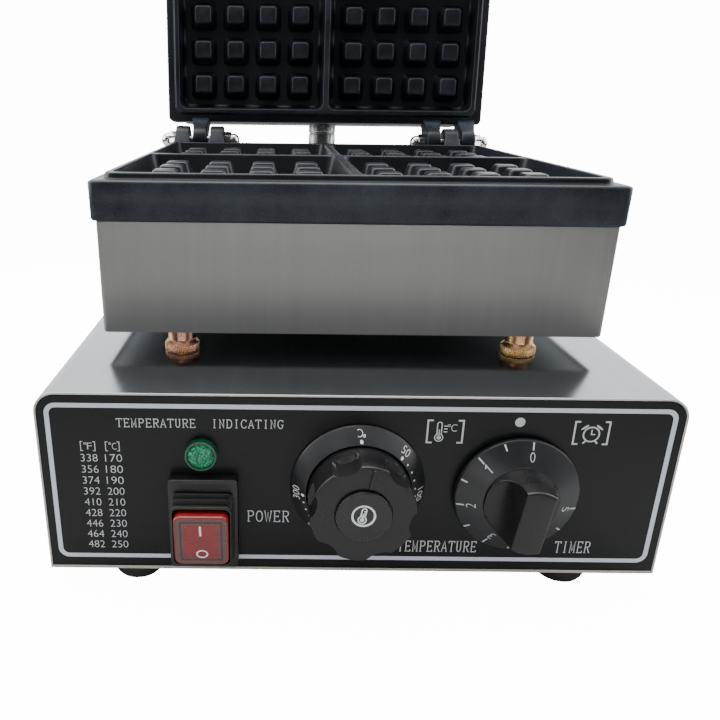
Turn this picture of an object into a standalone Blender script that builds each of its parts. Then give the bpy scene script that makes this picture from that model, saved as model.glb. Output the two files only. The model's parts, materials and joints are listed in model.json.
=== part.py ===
"""Square waffle baker: a control base, a fixed lower waffle plate on four posts and a hinged upper half.

Metres, +Z up, +X to the right and -Y to the front. The origin is on the floor, at the middle of the
object's box with the upper half standing open. The upper half hangs on the empty lid_hinge, whose
rotation opens it; its parts are modelled shut, measured from the hinge line.
"""

import math

import bmesh
import bpy
from mathutils import Matrix, Vector

# ---------------------------------------------------------------- driving dimensions
GAP = 0.0003  # clearance left between pieces that touch
BASE_WIDTH = 0.320
BASE_DEPTH = 0.400
BASE_HEIGHT = 0.101
BASE_CORNER = 0.011  # outer radius of the cover's two long top edges
SHEET = 0.0012  # stainless sheet of the base
SKIRT_SHEET = 0.0010
FOOT_HEIGHT = 0.010
FOOT_RADIUS = 0.014
FOOT_INSET = 0.0445
FOOT_SETBACK = 0.0155

PLATE_SIZE = 0.277  # square flange of each waffle plate
PLATE_SETBACK = 0.0502  # base front to flange front
FLANGE_THICK = 0.0206
LIP_HEIGHT = 0.0034
LIP_INSET = 0.0068
LIP_WALL = 0.0042
RIB_HALF = 0.0026  # half the width of the cross ribs between the four moulds
CAVITY_DEPTH = 0.015
CAVITY_DRAFT = 0.003
BLOCK_PITCH = 0.0281
BLOCK_TOP = 0.0136
BLOCK_FOOT = 0.0200
BLOCK_HEIGHT = 0.012
BLOCKS_PER_SIDE = 4
MATE_HALF_GAP = 0.0004  # half the gap between the two lips when the baker is shut

HINGE_BEHIND = 0.0158  # flange rear to hinge line
HINGE_HEIGHT = FOOT_HEIGHT + 0.1986 + MATE_HALF_GAP
HINGE_X = 0.110
LUG_WIDTH = 0.012
LUG_SPREAD = 0.030  # between the centres of a pair of lugs
KNUCKLE_RADIUS = 0.012
PIN_RADIUS = 0.004
PIN_BORE = 0.0043
OPEN_ANGLE = math.radians(96.0)

SKIRT_INSET = 0.0026
SKIRT_HEIGHT = 0.060
COVER_CORNER = 0.006  # rounding of the upper cover's top edges, less than its upright corners' radius
COVER_UPRIGHT = 0.0075
POST_X = 0.0945
POST_FRONT = 0.0635  # base front to the front posts' centres
POST_PITCH_Y = 0.250
POST_RADIUS = 0.0077
POST_BORE = 0.0045
COLLAR_RADIUS = 0.0097

LAMP_X, LAMP_Z = -0.0784, 0.0693  # control positions: right of the middle, above the base's underside
SWITCH_X, SWITCH_Z = -0.0775, 0.0320
DIAL_X, DIAL_Z = 0.0, 0.0520
GRIP_RADIUS = 0.0256  # the temperature knob, which has six finger scoops round its front edge
SCOOP_RADIUS, SCOOP_OUT, SCOOP_RUN = 0.0109, 0.0333, 0.0120
GRIP_REST = math.radians(10)  # how far the temperature knob stands clockwise of its off mark
TIMER_X, TIMER_Z = 0.0800, 0.0490
SWITCH_FRAME = (0.035, 0.051)
ROCKER = (0.0270, 0.0290)
ROCKER_TILT = math.radians(5.0)
TIMER_REST = math.radians(8)  # how far the timer's zero stands clockwise of the top
KNOB_REACH = 0.030
SHAFT_RADIUS = 0.003

ROCKER_PIVOT = 0.0100  # rocker pivot line, in front of the panel

GLAND_X, GLAND_Z = -0.110, 0.026  # the mains cable's gland
GLAND_BORE = 0.0088  # hole in the sheet for any of the three glands
CONDUIT_RADIUS = 0.0075
CONDUIT_LOW_X = -0.070  # its gland on the lower half; the one on the upper half is in the middle
CONDUIT_EXIT_Z = 0.0430  # both glands' height from the hinge line, with the baker shut
CONDUIT_EXIT_LENGTH = 0.0220
CONDUIT_PULL = 0.062  # how far the conduit's curve is drawn out at each end

HANDLE_X = 0.070
HANDLE_REACH = 0.046
HANDLE_UP = 0.048
ARM_FOOT = 0.022  # width of the tab that holds each arm to the cover

# ---------------------------------------------------------------- places worked out from them
LIP_TOP = -MATE_HALF_GAP  # heights from here to SKIRT_END are below the hinge line
FLANGE_TOP = LIP_TOP - LIP_HEIGHT
PLATE_UNDER = FLANGE_TOP - FLANGE_THICK
SKIRT_END = PLATE_UNDER - GAP - SKIRT_HEIGHT
SKIRT_HALF = PLATE_SIZE / 2 - SKIRT_INSET
PLATE_MIDDLE = -HINGE_BEHIND - PLATE_SIZE / 2  # hinge line to the middle of the plates, along Y
HINGE_FROM_FRONT = PLATE_SETBACK + PLATE_SIZE + HINGE_BEHIND
LID_FAR = HINGE_BEHIND + PLATE_SIZE - SKIRT_INSET
LID_REACH = (COVER_CORNER - LID_FAR) * math.cos(OPEN_ANGLE) - SKIRT_END * math.sin(OPEN_ANGLE)
FRONT_Y = -(HINGE_FROM_FRONT + LID_REACH - KNOB_REACH) / 2
HINGE_Y = FRONT_Y + HINGE_FROM_FRONT
BASE_TOP = FOOT_HEIGHT + BASE_HEIGHT
HALF_WIDTH = BASE_WIDTH / 2
CONDUIT_EXIT_Y = -HINGE_BEHIND - SKIRT_INSET + GAP
PANEL_FACE = FRONT_Y + 0.0004
PANEL_THICK = 0.0010
TRAY_FACE = PANEL_FACE + PANEL_THICK + GAP
COLUMNS = [i - (BLOCKS_PER_SIDE - 1) / 2 for i in range(BLOCKS_PER_SIDE)]
CAVITY_HALF = (PLATE_SIZE / 2 - LIP_INSET - LIP_WALL - RIB_HALF) / 2
CAVITY_CENTRE = RIB_HALF + CAVITY_HALF

TO_FRONT = (math.radians(90), 0, 0)  # turns a piece's own +Z to the front
TO_BACK = (math.radians(-90), 0, 0)
TO_RIGHT = (0, math.radians(90), 0)
TO_LEFT = (0, math.radians(-90), 0)
ABOUT_X = Matrix.Rotation(math.radians(90), 4, "X")
ABOUT_Y = Matrix.Rotation(math.radians(90), 4, "Y")
# stands an outline drawn in (y, z), and extruded along its own Z, across the object
ACROSS = Matrix(((0, 0, 1, 0), (1, 0, 0, 0), (0, 1, 0, 0), (0, 0, 0, 1)))
PARTS = "waffle_baker"  # the two collections
GUIDES = "cutters"


# ---------------------------------------------------------------- scene, materials and small tools
def clear_scene():
    for old in list(bpy.data.objects):
        bpy.data.objects.remove(old, do_unlink=True)


def collection(name):
    found = bpy.data.collections.get(name)
    if found is None:
        found = bpy.data.collections.new(name)
        bpy.context.scene.collection.children.link(found)
    return found


def empty(name, location, rotation=(0, 0, 0)):
    """A joint's axis or a reference line that pieces are placed from."""
    guide = bpy.data.objects.new(name, None)
    collection(PARTS).objects.link(guide)
    guide.location = location
    guide.rotation_euler = rotation
    return guide


def paint(name, colour, metallic, roughness):
    material = bpy.data.materials.get(name) or bpy.data.materials.new(name)
    material.use_nodes = True
    shader = material.node_tree.nodes["Principled BSDF"]
    shader.inputs["Base Color"].default_value = (*colour, 1.0)
    shader.inputs["Metallic"].default_value = metallic
    shader.inputs["Roughness"].default_value = roughness
    return material


def add(name, bm, finish=None, location=(0, 0, 0), rotation=(0, 0, 0), parent=None):
    """Makes an object of a bmesh. Without a finish it is a cutter or a guide, which stays hidden."""
    mesh = bpy.data.meshes.new(name)
    bm.to_mesh(mesh)
    bm.free()
    piece = bpy.data.objects.new(name, mesh)
    place(piece, finish, location, rotation, parent)
    return piece


def place(piece, finish, location, rotation=(0, 0, 0), parent=None):
    piece.location = location
    piece.rotation_euler = rotation
    piece.parent = parent
    if finish is None:
        collection(GUIDES).objects.link(piece)
        piece.hide_render = True
        piece.display_type = "WIRE"
    else:
        collection(PARTS).objects.link(piece)
        piece.data.materials.append(paint(piece.name, *finish))


def box_mesh(size, centre=(0, 0, 0)):
    bm = bmesh.new()
    bmesh.ops.create_cube(bm, size=1.0)
    bmesh.ops.scale(bm, vec=size, verts=bm.verts)
    bmesh.ops.translate(bm, vec=centre, verts=bm.verts)
    return bm


def taper(bm, keep, axis=2):
    """Scales the high end of a centred mesh by keep, in the two directions across axis."""
    for vert in bm.verts:
        if vert.co[axis] > 0:
            for i in range(3):
                if i != axis:
                    vert.co[i] *= keep


def round_uprights(bm, radius, segments):
    """Rounds the edges that run along Z."""
    edges = [e for e in bm.edges if abs(e.verts[0].co.z - e.verts[1].co.z) > 1e-6]
    bmesh.ops.bevel(bm, geom=edges, offset=radius, segments=segments, profile=0.5, affect="EDGES")


def cylinder_mesh(radius, depth, segments=24, end_radius=None):
    bm = bmesh.new()
    far = radius if end_radius is None else end_radius
    bmesh.ops.create_cone(bm, cap_ends=True, segments=segments, radius1=radius, radius2=far, depth=depth)
    return bm


def box(name, finish, size, location, parent=None):
    return add(name, box_mesh(size), finish, location, parent=parent)


def cylinder(name, finish, radius, depth, location, rotation=(0, 0, 0), parent=None, segments=24):
    return add(name, cylinder_mesh(radius, depth, segments), finish, location, rotation, parent)


def turned(name, finish, profile, location, rotation=(0, 0, 0), parent=None, steps=32, ring=False):
    """Spins a profile of (radius, height) points, given top to bottom, about its own Z."""
    bm = bmesh.new()
    points = [bm.verts.new((radius, 0, height)) for radius, height in profile]
    for start, end in zip(points, points[1:]):
        bm.edges.new((start, end))
    if ring:
        bm.edges.new((points[-1], points[0]))
    piece = add(name, bm, finish, location, rotation, parent)
    screw = piece.modifiers.new("spin", "SCREW")
    screw.steps = screw.render_steps = steps
    screw.use_merge_vertices = True
    screw.merge_threshold = 0.00001
    screw.use_smooth_shade = True
    return piece


def prism_mesh(outline, depth):
    """Extrudes a closed outline of (x, y) points along Z, centred."""
    bm = bmesh.new()
    base = bm.faces.new([bm.verts.new((x, y, -depth / 2)) for x, y in outline])
    top = bmesh.ops.extrude_face_region(bm, geom=[base])["geom"]
    bmesh.ops.translate(bm, vec=(0, 0, depth), verts=[v for v in top if isinstance(v, bmesh.types.BMVert)])
    bmesh.ops.recalc_face_normals(bm, faces=bm.faces)
    return bm


def arc(cx, cy, radius, start, end, steps):
    """Points on an arc, with its angles in degrees."""
    angles = [math.radians(start + (end - start) * i / steps) for i in range(steps + 1)]
    return [(cx + radius * math.cos(a), cy + radius * math.sin(a)) for a in angles]


def rounded_outline(half_x, low_y, high_y, low_radius, high_radius, steps=5):
    """A rectangle with round corners, anticlockwise from its lower right."""
    corners = [(half_x, low_y, low_radius, -90), (half_x, high_y, high_radius, 0),
               (-half_x, high_y, high_radius, 90), (-half_x, low_y, low_radius, 180)]
    points = []
    for x, y, radius, start in corners:
        cx = x - math.copysign(radius, x)
        cy = y + radius if y == low_y else y - radius
        points += arc(cx, cy, radius, start, start + 90, steps)
    return points


def tube(name, finish, points, radius, location=(0, 0, 0), parent=None, rings=2):
    curve = bpy.data.curves.new(name, "CURVE")
    curve.dimensions = "3D"
    curve.bevel_depth = radius
    curve.bevel_resolution = rings
    curve.use_fill_caps = True
    spline = curve.splines.new("POLY")
    spline.points.add(len(points) - 1)
    for point, co in zip(spline.points, points):
        point.co = (*co, 1.0)
    piece = bpy.data.objects.new(name, curve)
    place(piece, finish, location, parent=parent)
    return piece


def combine(piece, operation, other):
    step = piece.modifiers.new(other.name, "BOOLEAN")
    step.operation = operation
    step.object = other


def joined(meshes):
    """Puts several bmeshes, which don't touch, in one."""
    whole = bmesh.new()
    for bm in meshes:
        mesh = bpy.data.meshes.new("piece")
        bm.to_mesh(mesh)
        bm.free()
        whole.from_mesh(mesh)
        bpy.data.meshes.remove(mesh)
    return whole


def moved(bm, offset, rotation=None):
    if rotation is not None:
        bmesh.ops.transform(bm, matrix=rotation, verts=bm.verts)
    bmesh.ops.translate(bm, vec=offset, verts=bm.verts)
    return bm


# ---------------------------------------------------------------- finishes: colour, metallic, roughness
STEEL = ((0.62, 0.62, 0.61), 1.0, 0.32)
BRIGHT = ((0.78, 0.78, 0.77), 1.0, 0.18)
NONSTICK = ((0.030, 0.033, 0.040), 0.2, 0.38)
BLACK = ((0.018, 0.018, 0.020), 0.0, 0.40)
RUBBER = ((0.022, 0.022, 0.024), 0.0, 0.65)
RED = ((0.75, 0.03, 0.03), 0.0, 0.25)
GREEN = ((0.02, 0.55, 0.18), 0.0, 0.20)
BRASS = ((0.62, 0.42, 0.20), 1.0, 0.28)
WOOL = ((0.80, 0.78, 0.72), 0.0, 0.95)
INCOLOY = ((0.30, 0.32, 0.30), 1.0, 0.45)


# ---------------------------------------------------------------- base
def front_holes(name, depth):
    """One cutter for the four openings in the control face."""
    y = FRONT_Y
    bores = [(LAMP_X, LAMP_Z, 0.0066), (DIAL_X, DIAL_Z, 0.0052), (TIMER_X, TIMER_Z, 0.0052)]
    shapes = [moved(cylinder_mesh(radius, depth), (x, y, FOOT_HEIGHT + z), ABOUT_X) for x, z, radius in bores]
    window = (0.0286, depth, 0.0446)
    shapes.append(moved(box_mesh(window), (SWITCH_X, y, FOOT_HEIGHT + SWITCH_Z)))
    return add(name, joined(shapes))


def make_casing_cover():
    """Folded top and sides, open below, at the front and at the back."""
    low = FOOT_HEIGHT
    flat = HALF_WIDTH - BASE_CORNER
    side = [(HALF_WIDTH, low)] + arc(flat, BASE_TOP - BASE_CORNER, BASE_CORNER, 0, 90, 6)
    path = side + [(-x, z) for x, z in reversed(side)]
    bm = bmesh.new()
    front = [bm.verts.new((x, FRONT_Y, z)) for x, z in path]
    edges = [bm.edges.new(pair) for pair in zip(front, front[1:])]
    back = bmesh.ops.extrude_edge_only(bm, edges=edges)["geom"]
    rear = [v for v in back if isinstance(v, bmesh.types.BMVert)]
    bmesh.ops.translate(bm, vec=(0, BASE_DEPTH, 0), verts=rear)
    cover = add("casing_cover", bm, STEEL)
    wall = cover.modifiers.new("sheet", "SOLIDIFY")
    wall.thickness = SHEET
    wall.offset = -1
    holes = []
    for x, y in post_places():
        holes.append(moved(cylinder_mesh(0.0048, 0.02), (x, y, BASE_TOP)))
    combine(cover, "DIFFERENCE", add("cover_holes", joined(holes)))
    return cover


def make_base_tray():
    """Folded bottom and front wall that the controls are mounted on."""
    half = HALF_WIDTH - SHEET - GAP
    depth = BASE_DEPTH - (TRAY_FACE - FRONT_Y) - SHEET - 2 * GAP
    top = BASE_TOP - SHEET - GAP
    floor = box_mesh((2 * half, depth, SHEET), (0, TRAY_FACE + depth / 2, FOOT_HEIGHT + SHEET / 2))
    tray = add("base_tray", floor, STEEL)
    outline = rounded_outline(half, FOOT_HEIGHT, top, 0.001, BASE_CORNER - SHEET, 4)
    wall = moved(prism_mesh(outline, SHEET), (0, TRAY_FACE + SHEET / 2, 0), ABOUT_X)
    combine(tray, "UNION", add("tray_front", wall))
    combine(tray, "DIFFERENCE", front_holes("tray_openings", 0.02))
    slots = []
    for i in range(6):
        slots.append(moved(box_mesh((0.005, 0.070, 0.01)), ((i - 2.5) * 0.016, FRONT_Y + 0.20, FOOT_HEIGHT)))
    combine(tray, "DIFFERENCE", add("tray_vents", joined(slots)))
    return tray


def make_control_panel():
    half = HALF_WIDTH - SHEET - GAP
    low = FOOT_HEIGHT + 0.0004
    outline = rounded_outline(half, low, BASE_TOP - SHEET - GAP, 0.0015, BASE_CORNER - SHEET, 6)
    slab = moved(prism_mesh(outline, PANEL_THICK), (0, PANEL_FACE + PANEL_THICK / 2, 0), ABOUT_X)
    panel = add("control_panel", slab, BLACK)
    combine(panel, "DIFFERENCE", front_holes("panel_openings", 0.02))
    return panel


def make_rear_panel():
    half = HALF_WIDTH - SHEET - GAP
    y = FRONT_Y + BASE_DEPTH - SHEET / 2
    outline = rounded_outline(half, FOOT_HEIGHT, BASE_TOP - SHEET - GAP, 0.001, BASE_CORNER - SHEET, 4)
    slab = moved(prism_mesh(outline, SHEET), (0, y, 0), ABOUT_X)
    panel = add("rear_panel", slab, STEEL)
    vent_size, bank_x, column_pitch, lowest, row_pitch = (0.028, 0.01, 0.0045), 0.085, 0.034, 0.050, 0.010
    holes = []
    for side in (-1, 1):
        for column in (-0.5, 0.5):
            for row in range(4):
                spot = (side * bank_x + column * column_pitch, y, FOOT_HEIGHT + lowest + row * row_pitch)
                holes.append(moved(box_mesh(vent_size), spot))
    holes.append(moved(cylinder_mesh(GLAND_BORE, 0.01), (GLAND_X, y, FOOT_HEIGHT + GLAND_Z), ABOUT_X))
    holes += [moved(cylinder_mesh(0.0019, 0.01, 12), (x, y, z), ABOUT_X) for x, z in rear_screw_places()]
    combine(panel, "DIFFERENCE", add("rear_openings", joined(holes)))
    return panel


def rear_screw_places():
    return [(sx * 0.146, FOOT_HEIGHT + z) for sx in (-1, 1) for z in (0.012, 0.085)]


def make_screw(name, location, rotation, parent=None, head=0.0034, shank=0.0015, length=0.006):
    """A pan-head screw whose head stands out along the rotation's +Z."""
    profile = [(0, 0.0019), (head * 0.55, 0.0017), (head * 0.9, 0.0009), (head, GAP), (shank, GAP),
               (shank, -length), (0, -length)]
    return turned(name, BRIGHT, profile, location, rotation, parent, steps=12)


def make_feet():
    profile = [(0, -GAP), (FOOT_RADIUS, -GAP), (FOOT_RADIUS, -0.0035), (FOOT_RADIUS * 0.96, -0.0065),
               (FOOT_RADIUS * 0.84, -0.0088), (FOOT_RADIUS * 0.66, -FOOT_HEIGHT), (0, -FOOT_HEIGHT)]
    for side, x in (("left", -1), ("right", 1)):
        for end, y in (("front", FOOT_SETBACK), ("rear", BASE_DEPTH - FOOT_SETBACK - 0.010)):
            place_xy = (x * (HALF_WIDTH - FOOT_INSET), FRONT_Y + y, FOOT_HEIGHT)
            turned("foot_%s_%s" % (end, side), RUBBER, profile, place_xy, steps=18)


def post_places():
    return [(sx * POST_X, FRONT_Y + POST_FRONT + row * POST_PITCH_Y) for row in (0, 1) for sx in (-1, 1)]


def make_posts():
    """Plated tubular posts with a collar at the foot, carrying the lower half."""
    top = HINGE_HEIGHT + SKIRT_END + 0.0022 - GAP
    height = top - BASE_TOP - GAP
    profile = [(POST_BORE, height), (POST_RADIUS, height), (POST_RADIUS, 0.0070),
               (POST_RADIUS + 0.0006, 0.0062), (COLLAR_RADIUS, 0.0044), (COLLAR_RADIUS, 0.0008),
               (COLLAR_RADIUS - 0.0006, 0), (POST_BORE, 0)]
    names = ["post_front_left", "post_front_right", "post_rear_left", "post_rear_right"]
    for name, (x, y) in zip(names, post_places()):
        turned(name, BRASS, profile, (x, y, BASE_TOP + GAP), steps=18, ring=True)


# ---------------------------------------------------------------- controls
def on_panel(x, z, out=0.0):
    """A place on the control panel's face, out towards the front."""
    return (x, PANEL_FACE - GAP - out, FOOT_HEIGHT + z)


def behind_tray(x, z):
    return (x, TRAY_FACE + SHEET + GAP, FOOT_HEIGHT + z)


def make_lamp():
    lens = [(0, 0.0056), (0.0040, 0.0055), (0.0068, 0.0050), (0.0078, 0.0048), (0.0081, 0.0042), (0.0081, 0),
            (0, 0)]
    turned("lamp_lens", GREEN, lens, on_panel(LAMP_X, LAMP_Z), TO_FRONT, steps=24)
    x, y, z = on_panel(LAMP_X, LAMP_Z)
    body = [(0, -GAP), (0.0062, -GAP), (0.0062, -0.0045), (0.0078, -0.0045), (0.0078, -0.0085),
            (0.0062, -0.0085), (0.0062, -0.022), (0, -0.022)]
    turned("lamp_body", BLACK, body, (x, y, z), TO_FRONT, steps=20)


def make_switch():
    """A sealed rocker switch: stepped rubber frame outside, rocker in its window, body behind the wall."""
    width, height = SWITCH_FRAME
    flange = 0.0070
    spot = on_panel(SWITCH_X, SWITCH_Z)
    rim = box_mesh((width, height, flange), (0, 0, flange / 2))
    frame = add("switch_frame", rim, RUBBER, spot, TO_FRONT)
    layers = [(0.0302, 0.0345, flange - 0.001, 0.0172), (0.0318, 0.0396, 0.0086, 0.0104),
              (0.0312, 0.0374, 0.0122, 0.0138)]
    for i, (wide, tall, low, high) in enumerate(layers):
        layer = moved(box_mesh((wide, tall, high - low)), (0, 0, (low + high) / 2))
        combine(frame, "UNION", add("switch_layer_%d" % i, layer, None, spot, TO_FRONT))
    window = box_mesh((ROCKER[0] + 0.0012, ROCKER[1] + 0.0024, 0.030))
    opening = add("switch_window", window, None, on_panel(SWITCH_X, SWITCH_Z, 0.0170), TO_FRONT)
    combine(frame, "DIFFERENCE", opening)
    pivot = empty("rocker_pivot", on_panel(SWITCH_X, SWITCH_Z, ROCKER_PIVOT), (ROCKER_TILT, 0, 0))
    cap = box_mesh((*ROCKER, 0.0090))
    round_uprights(cap, 0.0030, 3)
    add("switch_rocker", moved(cap, (0, -0.0055, 0), ABOUT_X), RED, parent=pivot)
    x, y, z = behind_tray(SWITCH_X, SWITCH_Z)
    box("switch_body", BLACK, (0.0275, 0.026, 0.0435), (x, y + 0.013 - 0.0010, z))


def make_temperature_control():
    x, z = DIAL_X, DIAL_Z
    dial = [(0.0260, 0.0081), (0.0266, 0.0085), (0.0334, 0.0016), (0.0340, 0.0008), (0.0338, 0), (0.0190, 0),
            (0.0190, 0.0020), (0.0260, 0.0020)]
    turned("temperature_dial", BLACK, dial, on_panel(x, z), TO_FRONT, steps=36, ring=True)
    spin = empty("temperature_spindle", on_panel(x, z), (math.radians(90), GRIP_REST, 0))
    low, high = 0.0045, 0.0280
    body = cylinder_mesh(GRIP_RADIUS, high - low, 60, GRIP_RADIUS * 0.997)
    grip = add("temperature_grip", moved(body, (0, 0, (low + high) / 2)), BLACK, parent=spin)
    cup = moved(cylinder_mesh(0.0138, 0.008, 32), (0, 0, high))
    combine(grip, "DIFFERENCE", add("grip_recess", cup, parent=spin))
    scoops = []
    for i in range(6):
        angle = math.radians(60 * i)
        spot = (SCOOP_OUT * math.cos(angle), SCOOP_OUT * math.sin(angle), high)
        scoops.append(moved(cylinder_mesh(SCOOP_RADIUS, 2 * SCOOP_RUN, 40), spot))
    combine(grip, "DIFFERENCE", add("grip_scoops", joined(scoops), parent=spin))
    rib = moved(box_mesh((0.0020, 0.0100, 0.0024)), (0, 0.0194, high))
    combine(grip, "UNION", add("grip_pointer", rib, parent=spin))
    bore = moved(cylinder_mesh(SHAFT_RADIUS + GAP, 0.016, 16), (0, 0, 0.0040))
    combine(grip, "DIFFERENCE", add("grip_bore", bore, parent=spin))
    cap = [(0, 0.0280), (0.0060, 0.0283), (0.0100, 0.0290), (0.0124, 0.0298), (0.0132, 0.0296),
           (0.0134, 0.0288), (0.0134, 0.0243), (0, 0.0243)]
    turned("temperature_cap", BLACK, cap, (0, 0, 0), parent=spin, steps=32)
    shaft = moved(cylinder_mesh(SHAFT_RADIUS, 0.030, 16), (0, 0, -0.0035))
    add("thermostat_shaft", shaft, BRIGHT, parent=spin)
    bx, by, bz = behind_tray(x, z)
    body = add("thermostat_body", box_mesh((0.046, 0.030, 0.034)), BRIGHT, (bx, by + 0.015, bz))
    hole = cylinder_mesh(SHAFT_RADIUS + GAP, 0.040, 16)
    combine(body, "DIFFERENCE", add("thermostat_hole", hole, None, (bx, by, bz), TO_FRONT))


def make_timer():
    x, z = TIMER_X, TIMER_Z
    spin = empty("timer_spindle", on_panel(x, z), (math.radians(90), TIMER_REST, 0))
    cone_top = 0.0102
    scale = [(0, cone_top), (0.0190, cone_top), (0.0308, 0.0044), (0.0314, 0.0038), (0.0314, 0.0012),
             (0, 0.0012)]
    dial = turned("timer_dial", BLACK, scale, (0, 0, 0), parent=spin, steps=36)
    bore = moved(cylinder_mesh(SHAFT_RADIUS + GAP, 0.030, 16), (0, 0, 0))
    combine(dial, "DIFFERENCE", add("timer_bore", bore, parent=spin))
    foot = cone_top + GAP
    body = cylinder_mesh(0.0188, KNOB_REACH - foot, 48, 0.0168)
    grip = add("timer_grip", moved(body, (0, 0, (KNOB_REACH + foot) / 2)), BLACK, parent=spin)
    half_bar, hollow, deeper = 0.00725, 0.0113, 1.6  # the hollows are ellipses, deeper than they are wide
    sides = [moved(cylinder_mesh(hollow, 0.050, 64), (way * (half_bar + hollow), 0, 0), ABOUT_X)
             for way in (-1, 1)]
    pair = joined(sides)
    bmesh.ops.scale(pair, vec=(1, 1, deeper), verts=pair.verts)
    combine(grip, "DIFFERENCE", add("timer_sides", moved(pair, (0, 0, KNOB_REACH)), parent=spin))
    inner_end = 0.0184
    shaft = moved(cylinder_mesh(SHAFT_RADIUS, cone_top + inner_end, 16), (0, 0, (cone_top - inner_end) / 2))
    add("timer_shaft", shaft, BRIGHT, parent=spin)
    bx, by, bz = behind_tray(x, z)
    body = add("timer_body", box_mesh((0.050, 0.034, 0.050)), BLACK, (bx, by + 0.017, bz))
    hole = cylinder_mesh(SHAFT_RADIUS + GAP, 0.044, 16)
    combine(body, "DIFFERENCE", add("timer_hole", hole, None, (bx, by, bz), TO_FRONT))


def make_wiring():
    """Terminal block and mains gland."""
    box("terminal_block", BLACK, (0.062, 0.024, 0.020),
        (GLAND_X, FRONT_Y + BASE_DEPTH - 0.070, FOOT_HEIGHT + SHEET + GAP + 0.010))
    y = FRONT_Y + BASE_DEPTH
    gland = [(0.0045, 0.0220), (0.0090, 0.0215), (0.0105, 0.0190), (0.0105, 0.0060), (0.0125, 0.0060),
             (0.0125, GAP), (0.0085, GAP), (0.0085, -0.0120), (0.0045, -0.0120)]
    turned("mains_gland", BLACK, gland, (GLAND_X, y, FOOT_HEIGHT + GLAND_Z), TO_BACK, steps=18, ring=True)


def make_conduit_gland(name, x, z, parent):
    length = CONDUIT_EXIT_LENGTH
    bore, shank, outer, groove = 0.0060, 0.0085, 0.0125, 0.0119
    profile = [(bore, length), (0.0118, length), (outer, length - 0.0008), (outer, 0.0095), (groove, 0.0090),
               (groove, 0.0082), (outer, 0.0077), (outer, 0), (shank, 0), (shank, -0.0080), (bore, -0.0080)]
    turned(name, BRIGHT, profile, (x, CONDUIT_EXIT_Y, z), TO_BACK, parent, 20, True)


def gland_hole(name, x, z, parent):
    hole = moved(cylinder_mesh(GLAND_BORE, 0.01), (x, CONDUIT_EXIT_Y, z), ABOUT_X)
    return add(name, hole, parent=parent)


def make_conduit(lid):
    """A flexible steel conduit from the lower half's rear wall to the upper half's, in one loose curve."""
    reach = CONDUIT_EXIT_Y + CONDUIT_EXIT_LENGTH + GAP
    start = Vector((CONDUIT_LOW_X, HINGE_Y + reach, HINGE_HEIGHT - CONDUIT_EXIT_Z))
    end = lid.matrix_basis @ Vector((0, reach, CONDUIT_EXIT_Z))
    back = Vector((0, 1, 0))
    down = lid.matrix_basis.to_3x3() @ back
    low, high = start + 0.004 * back, end + 0.004 * down
    route = [start] + bezier(low, low + CONDUIT_PULL * back, high + CONDUIT_PULL * down, high, 18) + [end]
    return tube("conduit", BRIGHT, route, CONDUIT_RADIUS)


def bezier(a, b, c, d, count):
    points = []
    for i in range(count):
        t = i / (count - 1)
        s = 1 - t
        points.append(a * s**3 + b * (3 * s * s * t) + c * (3 * s * t * t) + d * t**3)
    return points


# ---------------------------------------------------------------- waffle plates
def lug_mesh():
    """One hinge lug of the lower casting: a web from the flange that ends in a knuckle."""
    root = -HINGE_BEHIND - 0.004
    outline = [(root, PLATE_UNDER + 0.004)] + arc(0, 0, KNUCKLE_RADIUS, -100, 152, 14) + [(root, FLANGE_TOP)]
    return moved(prism_mesh(outline, LUG_WIDTH), (0, 0, 0), ACROSS)


def heel_mesh():
    """The stop on an upper lug, which meets the lower flange's rear face when the lid is fully open."""
    reach = HINGE_BEHIND - GAP
    block = box_mesh((LUG_WIDTH, reach - 0.005, 0.0065), (0, -(reach + 0.005) / 2, -0.0088))
    return moved(block, (0, 0, 0), Matrix.Rotation(OPEN_ANGLE, 4, "X"))


def block_mesh(x, y):
    block = box_mesh((BLOCK_FOOT, BLOCK_FOOT, BLOCK_HEIGHT + 0.001))
    taper(block, BLOCK_TOP / BLOCK_FOOT)
    return moved(block, (x, y, LIP_TOP - CAVITY_DEPTH + (BLOCK_HEIGHT - 0.001) / 2))


def cavity_mesh(x, y):
    """A tapered mould cavity; it is deeper than it need be at the top, so that it cuts clear of the lip."""
    clear = 0.002
    size = 2 * CAVITY_HALF
    cavity = box_mesh((size, size, CAVITY_DEPTH + clear))
    round_uprights(cavity, 0.006, 3)
    bmesh.ops.scale(cavity, vec=(1, 1, -1), verts=cavity.verts)
    taper(cavity, 1 - 2 * CAVITY_DRAFT / size)
    bmesh.ops.scale(cavity, vec=(1, 1, -1), verts=cavity.verts)
    return moved(cavity, (x, y, LIP_TOP - (CAVITY_DEPTH - clear) / 2))


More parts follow.
